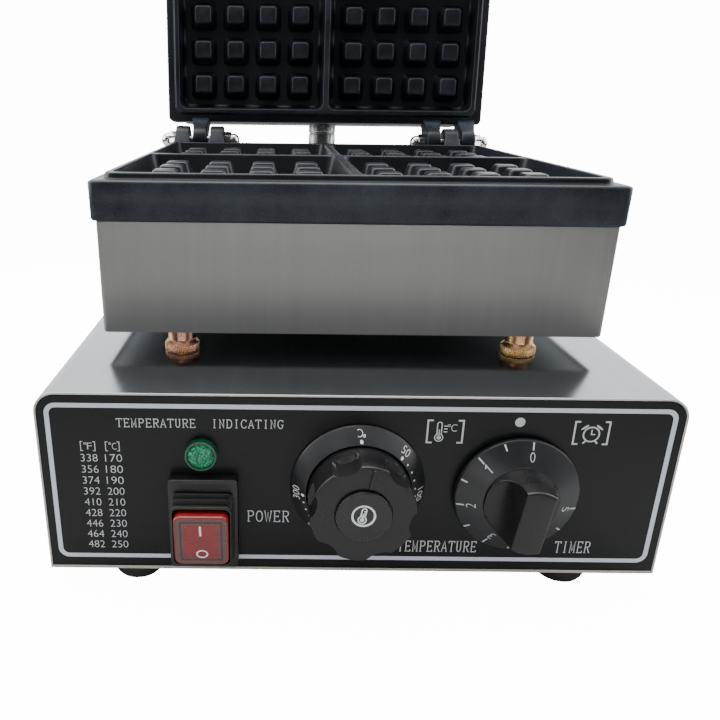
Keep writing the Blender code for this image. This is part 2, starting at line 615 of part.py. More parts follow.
def make_plate(name, single_side, heels, parent, turn):
    """A cast plate with four moulds. Heights are for the lower plate; turn flips the upper one over."""
    slab = box_mesh((PLATE_SIZE, PLATE_SIZE, FLANGE_THICK))
    round_uprights(slab, 0.0040, 2)
    slab = moved(slab, (0, PLATE_MIDDLE, FLANGE_TOP - FLANGE_THICK / 2))
    plate = add(name, slab, NONSTICK, (0, 0, 0), turn, parent)

    lip_size = PLATE_SIZE - 2 * LIP_INSET
    lip = box_mesh((lip_size, lip_size, LIP_HEIGHT + 0.002))
    round_uprights(lip, 0.0060, 3)
    lip = moved(lip, (0, PLATE_MIDDLE, FLANGE_TOP + (LIP_HEIGHT - 0.002) / 2))
    combine(plate, "UNION", add(name + "_lip", lip, None, (0, 0, 0), turn, parent))

    pair_x = -single_side * HINGE_X
    spots = [single_side * HINGE_X, pair_x - LUG_SPREAD / 2, pair_x + LUG_SPREAD / 2]
    lugs = joined([moved(lug_mesh(), (x, 0, 0)) for x in spots])
    combine(plate, "UNION", add(name + "_lugs", lugs, None, (0, 0, 0), turn, parent))
    if heels:
        flip = Matrix.Rotation(math.pi, 4, "Y")
        stops = joined([moved(heel_mesh(), (-x, 0, 0)) for x in spots])
        bmesh.ops.transform(stops, matrix=flip, verts=stops.verts)
        combine(plate, "UNION", add(name + "_heels", stops, None, (0, 0, 0), turn, parent))

    centres = [(sx * CAVITY_CENTRE, PLATE_MIDDLE + sy * CAVITY_CENTRE) for sx in (-1, 1) for sy in (-1, 1)]
    moulds = joined([cavity_mesh(x, y) for x, y in centres])
    combine(plate, "DIFFERENCE", add(name + "_moulds", moulds, None, (0, 0, 0), turn, parent))
    studs = joined([block_mesh(x + i * BLOCK_PITCH, y + j * BLOCK_PITCH)
                    for x, y in centres for i in COLUMNS for j in COLUMNS])
    combine(plate, "UNION", add(name + "_blocks", studs, None, (0, 0, 0), turn, parent))

    bores = joined([moved(cylinder_mesh(PIN_BORE, LUG_WIDTH * 1.2, 20), (x, 0, 0), ABOUT_Y) for x in spots])
    combine(plate, "DIFFERENCE", add(name + "_bores", bores, None, (0, 0, 0), turn, parent))
    return plate


def heater_route():
    """Four runs from back to front under the plate, joined by half turns."""
    run, radius, far = 0.070, 0.030, 0.085
    xs = [-0.090, -0.030, 0.030, 0.090]
    route = [(xs[0], PLATE_MIDDLE + far, 0)]
    for i, x in enumerate(xs[:-1]):
        front = i % 2 == 0
        cy = PLATE_MIDDLE + (-run if front else run)
        first, last = (180, 360) if front else (180, 0)
        route += [(px, py, 0) for px, py in arc(x + radius, cy, radius, first, last, 7)]
    route.append((xs[-1], PLATE_MIDDLE + far, 0))
    return route


def make_heating(half, parent, up):
    """Element, clamp bar and wool pad behind one plate. up is 1 above the plate and -1 below it."""
    def height(down):
        return up * (-PLATE_UNDER + down)
    radius = 0.0038
    tube("heating_element_" + half, INCOLOY, heater_route(), radius, (0, 0, height(GAP + radius)), parent)
    clamp = height(2 * radius + 2 * GAP + 0.0010)
    box("element_clamp_" + half, STEEL, (0.220, 0.022, 0.0020), (0, PLATE_MIDDLE, clamp), parent)
    box("wool_pad_" + half, WOOL, (0.250, 0.250, 0.024), (0, PLATE_MIDDLE, height(0.0250)), parent)


def square_ring(name, finish, low, high, parent):
    """A folded sheet skirt round the plate, open above and below."""
    bm = box_mesh((2 * SKIRT_HALF, 2 * SKIRT_HALF, high - low))
    round_uprights(bm, 0.0025, 3)
    ends = [f for f in bm.faces if abs(f.normal.z) > 0.9]
    bmesh.ops.delete(bm, geom=ends, context="FACES_ONLY")
    skirt = add(name, bm, finish, (0, PLATE_MIDDLE, (low + high) / 2), parent=parent)
    wall = skirt.modifiers.new("sheet", "SOLIDIFY")
    wall.thickness = SKIRT_SHEET
    wall.offset = -1
    wall.use_even_offset = True
    return skirt


def make_lower_half(stand):
    make_plate("lower_plate", 1, False, stand, (0, 0, 0))
    skirt = square_ring("lower_skirt", STEEL, SKIRT_END, PLATE_UNDER - GAP, stand)
    combine(skirt, "DIFFERENCE", gland_hole("skirt_exit", CONDUIT_LOW_X, -CONDUIT_EXIT_Z, stand))
    make_conduit_gland("conduit_gland_lower", CONDUIT_LOW_X, -CONDUIT_EXIT_Z, stand)
    make_heating("lower", stand, -1)
    inner = 2 * (SKIRT_HALF - SKIRT_SHEET - 2 * GAP)
    floor = SKIRT_END + 0.0022 + SKIRT_SHEET / 2
    cover = box_mesh((inner, inner, SKIRT_SHEET))
    add("lower_base_plate", cover, STEEL, (0, PLATE_MIDDLE, floor), parent=stand)


def make_upper_half(lid):
    make_plate("upper_plate", 1, True, lid, (0, math.pi, 0))
    make_heating("upper", lid, 1)
    low, high = -PLATE_UNDER + GAP, -SKIRT_END
    shell = box_mesh((2 * SKIRT_HALF, 2 * SKIRT_HALF, high - low))
    round_uprights(shell, COVER_UPRIGHT, 4)
    top_edges = [e for e in shell.edges if all(v.co.z > 0 for v in e.verts)]
    bmesh.ops.bevel(shell, geom=top_edges, offset=COVER_CORNER, segments=3, profile=0.5, affect="EDGES")
    base = [f for f in shell.faces if f.normal.z < -0.9]
    bmesh.ops.delete(shell, geom=base, context="FACES_ONLY")
    cover = add("upper_cover", shell, STEEL, (0, PLATE_MIDDLE, (low + high) / 2), parent=lid)
    wall = cover.modifiers.new("sheet", "SOLIDIFY")
    wall.thickness = SKIRT_SHEET
    wall.offset = -1
    wall.use_even_offset = True
    combine(cover, "DIFFERENCE", gland_hole("cover_exit", 0, CONDUIT_EXIT_Z, lid))
    make_conduit_gland("conduit_gland_upper", 0, CONDUIT_EXIT_Z, lid)


def make_handle(lid):
    """A round grip held between two bent flat arms on the front of the upper half."""
    wall = -LID_FAR
    arm_thick = 0.003
    bar_y = wall - HANDLE_REACH
    for side, x in (("left", -1), ("right", 1)):
        inside = x * HANDLE_X
        foot_x = x * (HANDLE_X - ARM_FOOT / 2 + arm_thick)
        foot = box_mesh((ARM_FOOT, arm_thick, 0.040), (foot_x, wall - GAP - arm_thick / 2, HANDLE_UP))
        arm = add("handle_arm_" + side, foot, BRIGHT, parent=lid)
        outline = [(wall - GAP, HANDLE_UP + 0.018), (wall - GAP, HANDLE_UP - 0.018)]
        outline += arc(bar_y, HANDLE_UP, 0.0110, 270, 90, 8)
        blade = prism_mesh(outline, arm_thick)
        blade = moved(blade, (inside + x * arm_thick / 2, 0, 0), ACROSS)
        combine(arm, "UNION", add("handle_blade_" + side, blade, parent=lid))
        turn = TO_RIGHT if x > 0 else TO_LEFT
        make_screw("handle_screw_" + side, (inside + x * (arm_thick + GAP), bar_y, HANDLE_UP), turn, lid,
                   head=0.0050, shank=0.0022, length=0.0140)
        hole = moved(cylinder_mesh(0.0025, 0.02, 16), (inside, bar_y, HANDLE_UP), ABOUT_Y)
        combine(arm, "DIFFERENCE", add("arm_hole_" + side, hole, parent=lid))
    half = HANDLE_X - GAP
    tip, middle, bore = 0.0095, 0.0125, 0.0025
    outer = [(tip, half), (tip + 0.0012, half - 0.0015), (middle, half * 0.45), (middle, -half * 0.45),
             (tip + 0.0012, 0.0015 - half), (tip, -half)]
    profile = [(bore, half)] + outer + [(bore, -half)]
    turned("handle_grip", BLACK, profile, (0, bar_y, HANDLE_UP), TO_RIGHT, lid, 20, True)


def make_hinge_pins(stand):
    """A rod through each hinge, with a domed nut on both ends."""
    reach = LUG_SPREAD / 2 + LUG_WIDTH / 2 + GAP
    for side, x in (("left", -1), ("right", 1)):
        centre = x * HINGE_X
        length = 2 * (reach + 0.0090)
        cylinder("hinge_pin_" + side, BRIGHT, PIN_RADIUS, length, (centre, 0, 0), TO_RIGHT, stand, 20)
        for end, way in (("left", -1), ("right", 1)):
            turn = TO_RIGHT if way > 0 else TO_LEFT
            spot = (centre + way * reach, 0, 0)
            name = "nut_%s_%s" % (side, end)
            hexagon = moved(cylinder_mesh(0.0074, 0.0062, 6), (0, 0, 0.0031))
            nut = add(name, hexagon, BRIGHT, spot, turn, stand)
            dome = bmesh.new()
            bmesh.ops.create_uvsphere(dome, u_segments=12, v_segments=8, radius=0.0060)
            combine(nut, "UNION", add(name + "_dome", moved(dome, (0, 0, 0.0074)), None, spot, turn, stand))
            bore = moved(cylinder_mesh(PIN_BORE, 0.0200, 20), (0, 0, -0.0005))
            combine(nut, "DIFFERENCE", add(name + "_bore", bore, None, spot, turn, stand))


def make_thermostat_probe(stand):
    """The thermostat's bulb, held against the underside of the lower plate between two element runs."""
    radius = 0.0030
    spot = (0, PLATE_MIDDLE - 0.010, PLATE_UNDER - GAP - radius)
    cylinder("thermostat_bulb", BRASS, radius, 0.080, spot, TO_FRONT, stand, 16)


def main():
    clear_scene()
    stand = empty("hinge_line", (0, HINGE_Y, HINGE_HEIGHT))
    lid = empty("lid_hinge", (0, HINGE_Y, HINGE_HEIGHT), (-OPEN_ANGLE, 0, 0))
    bpy.context.view_layer.update()

    make_casing_cover()
    make_base_tray()
    make_control_panel()
    make_rear_panel()
    for i, (x, z) in enumerate(rear_screw_places()):
        make_screw("rear_screw_%d" % (i + 1), (x, FRONT_Y + BASE_DEPTH, z), TO_BACK)
    make_feet()
    make_posts()
    make_lamp()
    make_switch()
    make_temperature_control()
    make_timer()
    make_wiring()
    make_conduit(lid)
    make_lower_half(stand)
    make_thermostat_probe(stand)
    make_hinge_pins(stand)
    make_upper_half(lid)
    make_handle(lid)


main()
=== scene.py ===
import json
from math import copysign, cos, hypot, pi, radians, sin, sqrt

import bmesh
import bpy
from mathutils import Matrix, Vector


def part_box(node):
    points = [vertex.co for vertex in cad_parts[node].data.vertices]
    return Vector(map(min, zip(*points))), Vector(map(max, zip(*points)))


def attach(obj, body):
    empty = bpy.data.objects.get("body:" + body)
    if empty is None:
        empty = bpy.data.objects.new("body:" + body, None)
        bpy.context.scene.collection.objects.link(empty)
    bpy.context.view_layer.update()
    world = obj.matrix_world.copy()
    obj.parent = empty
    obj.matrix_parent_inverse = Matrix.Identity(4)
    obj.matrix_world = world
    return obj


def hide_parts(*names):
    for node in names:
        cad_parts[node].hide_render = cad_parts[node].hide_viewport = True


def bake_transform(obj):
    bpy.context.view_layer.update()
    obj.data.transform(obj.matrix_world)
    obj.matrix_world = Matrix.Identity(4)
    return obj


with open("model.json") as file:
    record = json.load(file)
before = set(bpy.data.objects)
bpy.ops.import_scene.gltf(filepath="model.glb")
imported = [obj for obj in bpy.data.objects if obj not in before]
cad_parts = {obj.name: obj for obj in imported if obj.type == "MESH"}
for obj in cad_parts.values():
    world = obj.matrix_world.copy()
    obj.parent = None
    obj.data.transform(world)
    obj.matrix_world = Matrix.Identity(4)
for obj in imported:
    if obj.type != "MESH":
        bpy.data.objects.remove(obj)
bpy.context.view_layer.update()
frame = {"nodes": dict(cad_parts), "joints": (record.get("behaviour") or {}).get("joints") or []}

# ---------------------------------------------------------------- places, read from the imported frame
GAP = 0.0003
OPEN = radians(96.0)
JOINTS = {joint["name"]: joint for joint in frame["joints"]}
HINGE = Vector(JOINTS["upper_half_hinge"]["pos_m"])
DIAL = Vector(JOINTS["temperature_turn"]["pos_m"])
TIMER = Vector(JOINTS["timer_turn"]["pos_m"])
CASE_LOW, CASE_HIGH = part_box("casing_cover")
PANEL_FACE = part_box("control_panel")[0].y
DIAL_REST = radians(10.0)
TIMER_REST = radians(8.0)
ROCKER_REST = radians(5.0)
LAMP_X, LAMP_Z = -0.0784, 0.0693
SWITCH_X, SWITCH_Z = -0.0775, 0.032
SHEET = 0.0012

# heights from the hinge line, for the lower casting; the upper one is the same, turned over
LIP_TOP = -0.0004
FLANGE_TOP = LIP_TOP - 0.0034
UNDERSIDE = FLANGE_TOP - 0.0206
SKIRT_END = UNDERSIDE - GAP - 0.06
MOULD_FLOOR = LIP_TOP - 0.015
BLOCK_TOP = LIP_TOP - 0.003
PLATE_HALF = 0.1385
BEHIND = 0.0158
SKIRT_INSET = 0.0026
MIDDLE = -BEHIND - PLATE_HALF
SKIRT_HALF = PLATE_HALF - SKIRT_INSET
LIP_HALF = PLATE_HALF - 0.0068
MOULD_HALF = 0.06245
MOULD_CENTRE = 0.0026 + MOULD_HALF
PITCH = 0.0281
HINGE_X = 0.11
LUG_WIDTH = 0.012
LUG_SPREAD = 0.03
KNUCKLE = 0.012
GLAND_LENGTH = 0.022
CONDUIT_X = -0.07  # the lower gland; the upper one is in the middle
CONDUIT_Z = 0.043  # both glands, from the hinge line
CONDUIT_RADIUS = 0.0075
CONDUIT_PITCH = 0.0032

TO_FRONT = Matrix.Rotation(radians(90), 4, "X")
TO_BACK = Matrix.Rotation(radians(-90), 4, "X")
TO_RIGHT = Matrix.Rotation(radians(90), 4, "Y")
STAND = Matrix.Translation(HINGE)
LID = STAND @ Matrix.Rotation(-OPEN, 4, "X")
UPPER = LID @ Matrix.Rotation(pi, 4, "Y")
ACROSS = Matrix(((0, 0, 1, 0), (1, 0, 0, 0), (0, 1, 0, 0), (0, 0, 0, 1)))


def facing(x, z, out=0.0):
    """Stands a piece up on the control panel, x from its middle and z above the casing's lower edge."""
    return Matrix.Translation((x, PANEL_FACE - out, CASE_LOW.z + z)) @ TO_FRONT


def standing(node):
    """Where a node of the frame stands, and its height."""
    low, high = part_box(node)
    return Matrix.Translation(((low.x + high.x) / 2, (low.y + high.y) / 2, low.z)), high.z - low.z


def behind(node, out=0.0):
    """Where a node stands out of the rear panel."""
    low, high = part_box(node)
    return Matrix.Translation(((low.x + high.x) / 2, CASE_HIGH.y + out, (low.z + high.z) / 2)) @ TO_BACK


# ---------------------------------------------------------------- materials
def preset(node, **sockets):
    """Sets a node's sockets by name; an underscore stands for a space."""
    for socket, value in sockets.items():
        node.inputs[socket.replace("_", " ")].default_value = value
    return node


def placed(name, data):
    """Puts a new object of the given data in the scene."""
    made = bpy.data.objects.new(name, data)
    bpy.context.scene.collection.objects.link(made)
    return made


class Finish:
    """A Principled material whose colour, roughness and relief come from noise in the object's own space."""

    def __init__(self, name, colour, metallic, roughness, **sockets):
        self.material = bpy.data.materials.new(name)
        self.material.use_nodes = True
        self.tree = self.material.node_tree
        self.shader = self.tree.nodes["Principled BSDF"]
        preset(self.shader, Base_Color=(*colour, 1), Metallic=metallic, Roughness=roughness, **sockets)
        self.place = self.node("ShaderNodeTexCoord").outputs["Object"]

    def node(self, kind, **values):
        made = self.tree.nodes.new(kind)
        for key, value in values.items():
            setattr(made, key, value)
        return made

    def link(self, source, target):
        self.tree.links.new(source, target)

    def noise(self, size, detail=5.0, rough=0.55, stretch=(1, 1, 1)):
        mapping = preset(self.node("ShaderNodeMapping"), Scale=stretch)
        self.link(self.place, mapping.inputs["Vector"])
        noise = preset(self.node("ShaderNodeTexNoise"), Scale=size, Detail=detail, Roughness=rough)
        self.link(mapping.outputs["Vector"], noise.inputs["Vector"])
        return noise.outputs["Fac"]

    def ranged(self, source, low, high, start=0.3, end=0.7):
        spread = self.node("ShaderNodeMapRange")
        preset(spread, From_Min=start, From_Max=end, To_Min=low, To_Max=high)
        self.link(source, spread.inputs["Value"])
        return spread.outputs["Result"]

    def maths(self, operation, a, b):
        node = self.node("ShaderNodeMath", operation=operation)
        for i, value in enumerate((a, b)):
            if isinstance(value, (int, float)):
                node.inputs[i].default_value = value
            else:
                self.link(value, node.inputs[i])
        return node.outputs[0]

    def sum(self, a, b):
        return self.maths("ADD", a, b)

    def times(self, a, b):
        return self.maths("MULTIPLY", a, b)

    def ramp(self, source, stops):
        ramp = self.node("ShaderNodeValToRGB")
        elements = ramp.color_ramp.elements
        for element, (position, colour) in zip(elements, (stops[0], stops[-1])):
            element.position, element.color = position, (*colour, 1)
        for position, colour in stops[1:-1]:
            elements.new(position).color = (*colour, 1)
        self.link(source, ramp.inputs["Fac"])
        return ramp.outputs["Color"]

    def tint(self, source):
        self.link(source, self.shader.inputs["Base Color"])

    def gloss(self, source):
        self.link(source, self.shader.inputs["Roughness"])

    def relief(self, source, strength, distance=0.0002):
        bump = preset(self.node("ShaderNodeBump"), Strength=strength, Distance=distance)
        self.link(source, bump.inputs["Height"])
        self.link(bump.outputs["Normal"], self.shader.inputs["Normal"])

    def edges(self):
        """1 on edges, 0 elsewhere: the mask for a painted highlight along edges."""
        return self.ranged(self.node("ShaderNodeNewGeometry").outputs["Pointiness"], 0, 1, 0.505, 0.56)


def shades(colour, low, high):
    """The stops of a ramp between two strengths of one colour."""
    return [(place, tuple(min(1.0, c * factor) for c in colour)) for place, factor in ((0, low), (1, high))]


def brushed(name, colour, roughness, stretch, tone=0.1, size=900, relief=0.1, metallic=1.0, uneven=1.0):
    """Rolled and brushed sheet: fine streaks along one axis, long soft bands and a few handling marks."""
    f = Finish(name, colour, metallic, roughness)
    fine = f.noise(size, 3, stretch=stretch)
    bands = f.noise(size / 9, 2, stretch=[s * 0.6 for s in stretch])
    smudge = f.noise(14, 4, 0.6)
    mixed = f.sum(f.sum(fine, bands), smudge)
    f.tint(f.ramp(f.ranged(mixed, 0, 1, 1.15, 1.85), shades(colour, 1 - tone, 1 + tone)))
    f.gloss(f.sum(f.ranged(fine, roughness - 0.05 * uneven, roughness + 0.06 * uneven),
                  f.ranged(smudge, -0.03 * uneven, 0.06 * uneven)))
    f.relief(fine, relief)
    return f.material


def polished(name, colour, roughness, grain=700, **sockets):
    """Turned or plated metal with a faint orange peel and soft clouds."""
    f = Finish(name, colour, 1.0, roughness, **sockets)
    fine, cloud = f.noise(grain), f.noise(60, 3)
    f.tint(f.ramp(f.ranged(cloud, 0, 1), shades(colour, 0.86, 1.08)))
    f.gloss(f.sum(f.ranged(fine, roughness - 0.03, roughness + 0.05), f.ranged(cloud, -0.02, 0.05)))
    f.relief(fine, 0.02)
    return f.material


def moulded(name, colour, roughness, grain=1500, relief=0.12, tone=0.25, edge=0.0, **sockets):
    """Moulded plastic or rubber: a fine moulded grain, dull patches, and edges painted lighter as a highlight
    by the given edge amount.
    """
    f = Finish(name, colour, 0.0, roughness, **sockets)
    fine, patch = f.noise(grain, 3), f.noise(55, 5, 0.6)
    # painted highlight: edge lightens the colour along edges
    shade = f.sum(f.ranged(patch, 0, 0.6), f.sum(f.ranged(fine, 0, 0.4), f.times(f.edges(), edge)))
    f.tint(f.ramp(shade, shades(colour, 1 - tone, 1 + tone)))
    f.gloss(f.sum(f.ranged(patch, roughness - 0.06, roughness + 0.08), f.ranged(fine, -0.03, 0.03)))
    f.relief(fine, relief, 0.0001)
    return f.material


def cast_coating():
    """Non-stick coating over a sand-cast plate: dark slate, fine speckle, and its edges painted lighter as a
    highlight.
    """
    f = Finish("nonstick_casting", (0.01, 0.012, 0.017), 0.0, 0.38, Specular_IOR_Level=0.26)
    speckle, cast = f.noise(2200, 2), f.noise(420, 4)
    cloud = f.noise(26, 5, 0.65)
    mottle = f.sum(f.ranged(speckle, 0, 0.26), f.ranged(cloud, 0, 0.28))
    # painted highlight: the edge mask lifts the colour towards the lightest stop along every edge
    f.tint(f.ramp(f.sum(mottle, f.times(f.edges(), 0.5)),
                  [(0, (0.0036, 0.0046, 0.0066)), (0.5, (0.0072, 0.0092, 0.0136)),
                   (1, (0.06, 0.072, 0.092))]))
    f.gloss(f.sum(f.ranged(cloud, 0.3, 0.44), f.ranged(speckle, -0.03, 0.06)))
    f.relief(f.sum(cast, f.times(speckle, 0.5)), 0.32, 0.00018)
    return f.material


def plated(name):
    """Passivation that shifts between copper and brass over steel."""
    f = Finish(name, (0.55, 0.36, 0.18), 1.0, 0.26)
    drift, fine = f.noise(55, 1, stretch=(1, 1, 0.8)), f.noise(1500, 2)
    f.tint(f.ramp(f.ranged(drift, 0, 1, 0.32, 0.68),
                  [(0, (0.4, 0.32, 0.13)), (0.4, (0.55, 0.36, 0.15)), (0.7, (0.56, 0.28, 0.16)),
                   (1, (0.46, 0.24, 0.17))]))
    f.gloss(f.ranged(fine, 0.2, 0.34))
    f.relief(fine, 0.03)
    return f.material


def panel_black():
    """Satin paint with a faint grain and wiping marks."""
    f = Finish("panel_satin_black", (0.006, 0.006, 0.006), 0.0, 0.34, Specular_IOR_Level=0.25)
    fine, wipe = f.noise(1800, 2), f.noise(30, 4, 0.6, (1, 1, 3))
    f.tint(f.ramp(f.sum(f.ranged(wipe, 0, 0.7), f.ranged(fine, 0, 0.3)),
                  [(0, (0.0044, 0.0047, 0.0049)), (1, (0.0088, 0.0092, 0.0096))]))
    f.gloss(f.sum(f.ranged(wipe, 0.28, 0.42), f.ranged(fine, -0.03, 0.04)))
    f.relief(fine, 0.16, 0.00008)
    return f.material


def plain(name, colour):
    """A matt surface with a faint grain: print, and the ground edges of sheet metal; the casing's front edge
    in it is painted light as a highlight.
    """
    f = Finish(name, colour, 0.0, 0.5)
    fine = f.noise(1600, 3)
    f.tint(f.ramp(f.ranged(fine, 0, 1), shades(colour, 0.82, 1.06)))
    f.gloss(f.ranged(fine, 0.42, 0.6))
    f.relief(fine, 0.1, 0.00005)
    return f.material


def lens_green():
    """A textured translucent disc: a fine prism pattern under a glossy skin, its cell centres painted light
    as glints.
    """
    f = Finish("lamp_green", (0.0, 0.36, 0.15), 0.0, 0.22, Transmission_Weight=0.15, IOR=1.5,
               Emission_Strength=0.08, Emission_Color=(0.0, 0.55, 0.22, 1))
    cells = preset(f.node("ShaderNodeTexVoronoi"), Scale=900)
    f.link(f.place, cells.inputs["Vector"])
    prism_height_and_painted_glint = cells.outputs["Distance"]
    # painted glint: cell centres take the light green, cell edges the dark green
    f.tint(f.ramp(f.ranged(prism_height_and_painted_glint, 0, 1, 0.1, 0.6), [(0, (0.02, 0.62, 0.3)), (1, (0.0, 0.07, 0.03))]))
    f.gloss(f.ranged(prism_height_and_painted_glint, 0.1, 0.35, 0, 0.6))
    f.relief(prism_height_and_painted_glint, 0.8, 0.0004)
    return f.material


def red_shell(name, colour, strength):
    """Glossy translucent plastic that glows with the given strength."""
    f = Finish(name, colour, 0.0, 0.2, Transmission_Weight=0.2, IOR=1.49, Coat_Weight=0.3,
               Coat_Roughness=0.12, Emission_Strength=strength, Emission_Color=(*colour, 1))
    fine, cloud = f.noise(1300, 2), f.noise(90, 3)
    f.tint(f.ramp(f.ranged(cloud, 0, 1), shades(colour, 0.8, 1.15)))
    f.gloss(f.ranged(fine, 0.15, 0.28))
    f.relief(fine, 0.08, 0.0001)
    return f.material


M = {
    # the casing top and the skirt are the cover's steel made darker: painted shade
    "top": brushed("steel_casing_painted_shade", (0.33, 0.35, 0.37), 0.17, (1, 0.006, 0.5), 0.03, 2600, 0.002, uneven=0.25),
    "skirt": brushed("steel_skirt_painted_shade", (0.27, 0.27, 0.262), 0.4, (1, 1, 0.008), 0.05, 2600, 0.006, 0.55, 0.4),
    "cover": brushed("steel_cover", (0.5, 0.5, 0.49), 0.32, (0.008, 1, 1), 0.04, 2200, 0.006, uneven=0.4),
    "sheet": brushed("steel_sheet", (0.53, 0.53, 0.52), 0.34, (0.01, 1, 1), 0.05, 2000, 0.01, 0.5, 0.5),
    # painted highlight: a light matt finish for the casing's front rim
    "painted_edge_highlight": plain("steel_edge_painted_highlight", (0.62, 0.62, 0.6)),
    "lip": plain("tray_edge", (0.52, 0.5, 0.45)),
    "chrome": polished("bright_nut", (0.8, 0.79, 0.75), 0.1, 500),
    "bright": polished("bright_fittings", (0.6, 0.61, 0.61), 0.24),
    "conduit": polished("conduit_steel", (0.46, 0.47, 0.48), 0.3, 900),
    "cast": cast_coating(),
    "panel": panel_black(),
    "ink": plain("print_light_grey", (0.66, 0.68, 0.71)),
    "border": plain("print_border", (0.7, 0.76, 0.86)),
    "white": plain("print_white", (0.94, 0.95, 0.98)),
    # edge= is how much lighter each part's edges are painted, as a highlight
    "knob": moulded("knob_black", (0.0062, 0.0062, 0.0068), 0.3, 1500, 0.06, edge=0.12,
                    Specular_IOR_Level=0.42),
    "ring": moulded("ring_black", (0.013, 0.0138, 0.0156), 0.34, 2200, 0.12, edge=0.1),
    "cap": moulded("cap_black", (0.011, 0.011, 0.0116), 0.26, 1800, 0.06, edge=0.1,
                   Specular_IOR_Level=0.45),
    "plastic": moulded("inner_plastic", (0.02, 0.02, 0.022), 0.45),
    "handle": moulded("handle_phenolic", (0.013, 0.013, 0.014), 0.26, 1600, 0.03, edge=0.2, Coat_Weight=0.25),
    "rubber": moulded("boot_rubber", (0.006, 0.006, 0.0066), 0.34, 1200, 0.12, edge=0.3),
    "foot": moulded("foot_rubber", (0.011, 0.011, 0.012), 0.62, 900, 0.3),
    "plated": plated("plated_post"),
    "bezel": moulded("bezel_green", (0.004, 0.06, 0.026), 0.2, 900, 0.05, edge=0.3, Coat_Weight=0.3),
    "rim": moulded("bezel_rim", (0.035, 0.085, 0.06), 0.28, 900, 0.05),
    "green": lens_green(),
    "red": red_shell("rocker_red", (0.27, 0.01, 0.014), 0.02),
    "red_rim": red_shell("rocker_rim", (0.15, 0.048, 0.043), 0.0),
    "red_line": red_shell("rocker_line", (0.045, 0.022, 0.022), 0.0),
    "wool": moulded("mineral_wool", (0.62, 0.58, 0.5), 0.95, 500, 0.9, 0.2),
    "sheath": polished("element_sheath", (0.24, 0.25, 0.24), 0.45),
}


# ---------------------------------------------------------------- mesh tools
def smooth(mesh, degrees=38):
    for face in mesh.polygons:
        face.use_smooth = True
    mesh.set_sharp_from_angle(angle=radians(degrees))


def piece(name, bm, finish, body, replaces=(), matrix=None, degrees=38):
    """Makes an object of a bmesh, gives it a finish and says which body it rides on."""
    bmesh.ops.remove_doubles(bm, verts=bm.verts, dist=0.000002)
    bmesh.ops.recalc_face_normals(bm, faces=bm.faces)
    if matrix is not None:
        bmesh.ops.transform(bm, matrix=matrix, verts=bm.verts)
    mesh = bpy.data.meshes.new(name)
    bm.to_mesh(mesh)
    bm.free()
    smooth(mesh, degrees)
    made = placed(name, mesh)
    mesh.materials.append(M[finish])
    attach(made, body)
    if replaces:
        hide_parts(*replaces)
    return made


def ring(hx, hy, radius, z, cx=0.0, cy=0.0, steps=8):
    """A rounded rectangle, anticlockwise."""
    points = []
    for sx, sy, start in ((1, -1, -90), (1, 1, 0), (-1, 1, 90), (-1, -1, 180)):
        for i in range(steps + 1):
            a = radians(start + 90 * i / steps)
            points.append((cx + sx * (hx - radius) + radius * cos(a),
                           cy + sy * (hy - radius) + radius * sin(a), z))
    return points


def loft(bm, rings, first=True, last=True):
    loops = [[bm.verts.new(p) for p in r] for r in rings]
    for a, b in zip(loops, loops[1:]):
        for i in range(len(a)):
            j = (i + 1) % len(a)
            bm.faces.new((a[i], a[j], b[j], b[i]))
    if first:
        bm.faces.new(loops[0])
    if last:
        bm.faces.new(loops[-1])
    return loops


def stack(bm, levels, first=True, last=True, cx=0.0, cy=0.0, steps=8):
    """Joins rounded rectangles, given as half width, half depth, corner and height."""
    return loft(bm, [ring(w, h, r, z, cx, cy, steps) for w, h, r, z in levels], first, last)


def squares(bm, levels, first=True, last=True, cx=0.0, cy=0.0, steps=8):
    """The same for squares, given as half width, corner and height."""
    return stack(bm, [(s, s, r, z) for s, r, z in levels], first, last, cx, cy, steps)


def soften(points, radius, steps=3):
    """Rounds the inner corners of an open outline."""
    points = [Vector(p) for p in points]
    out = [points[0]]
    for before, corner, after in zip(points, points[1:], points[2:]):
        a, b = before - corner, after - corner
        reach = min(radius, a.length * 0.45, b.length * 0.45)
        start, end = corner + a.normalized() * reach, corner + b.normalized() * reach
        for i in range(steps + 1):
            t = i / steps
            out.append(start * (1 - t) ** 2 + corner * 2 * t * (1 - t) + end * t * t)
    return out + [points[-1]]


def lathe(profile, steps=64, radius=0.0004, teeth=None):
    """Spins (radius, height) points about Z. A knurl's teeth are count, depth, least radius, low, high."""
    bm = bmesh.new()
    outline = soften(profile, radius) if radius else [Vector(p) for p in profile]
    count = teeth[0] * 4 if teeth else steps
    rings = []
    for r, h in outline:
        loop = []
        for i in range(count):
            a = 2 * pi * i / count
            depth = 0.0
            if teeth and r > teeth[2] and teeth[3] <= h <= teeth[4]:
                depth = teeth[1] * (0.0, 0.25, 1.0, 0.25)[i % 4]
            loop.append((max(r - depth, 0.00001) * cos(a), max(r - depth, 0.00001) * sin(a), h))
        rings.append(loop)
    loft(bm, rings, profile[0][0] < 0.0001, profile[-1][0] < 0.0001)
    return bm


def prism(outline, depth, bevel=0.0, segments=3):
    bm = bmesh.new()
    base = bm.faces.new([bm.verts.new((x, y, -depth / 2)) for x, y in outline])
    top = bmesh.ops.extrude_face_region(bm, geom=[base])["geom"]
    bmesh.ops.translate(bm, vec=(0, 0, depth), verts=[v for v in top if isinstance(v, bmesh.types.BMVert)])
    bmesh.ops.recalc_face_normals(bm, faces=bm.faces)
    if bevel:
        rims = [e for e in bm.edges if abs(e.verts[0].co.z - e.verts[1].co.z) < 1e-7]
        bmesh.ops.bevel(bm, geom=rims, offset=bevel, segments=segments, profile=0.5, affect="EDGES")
    return bm


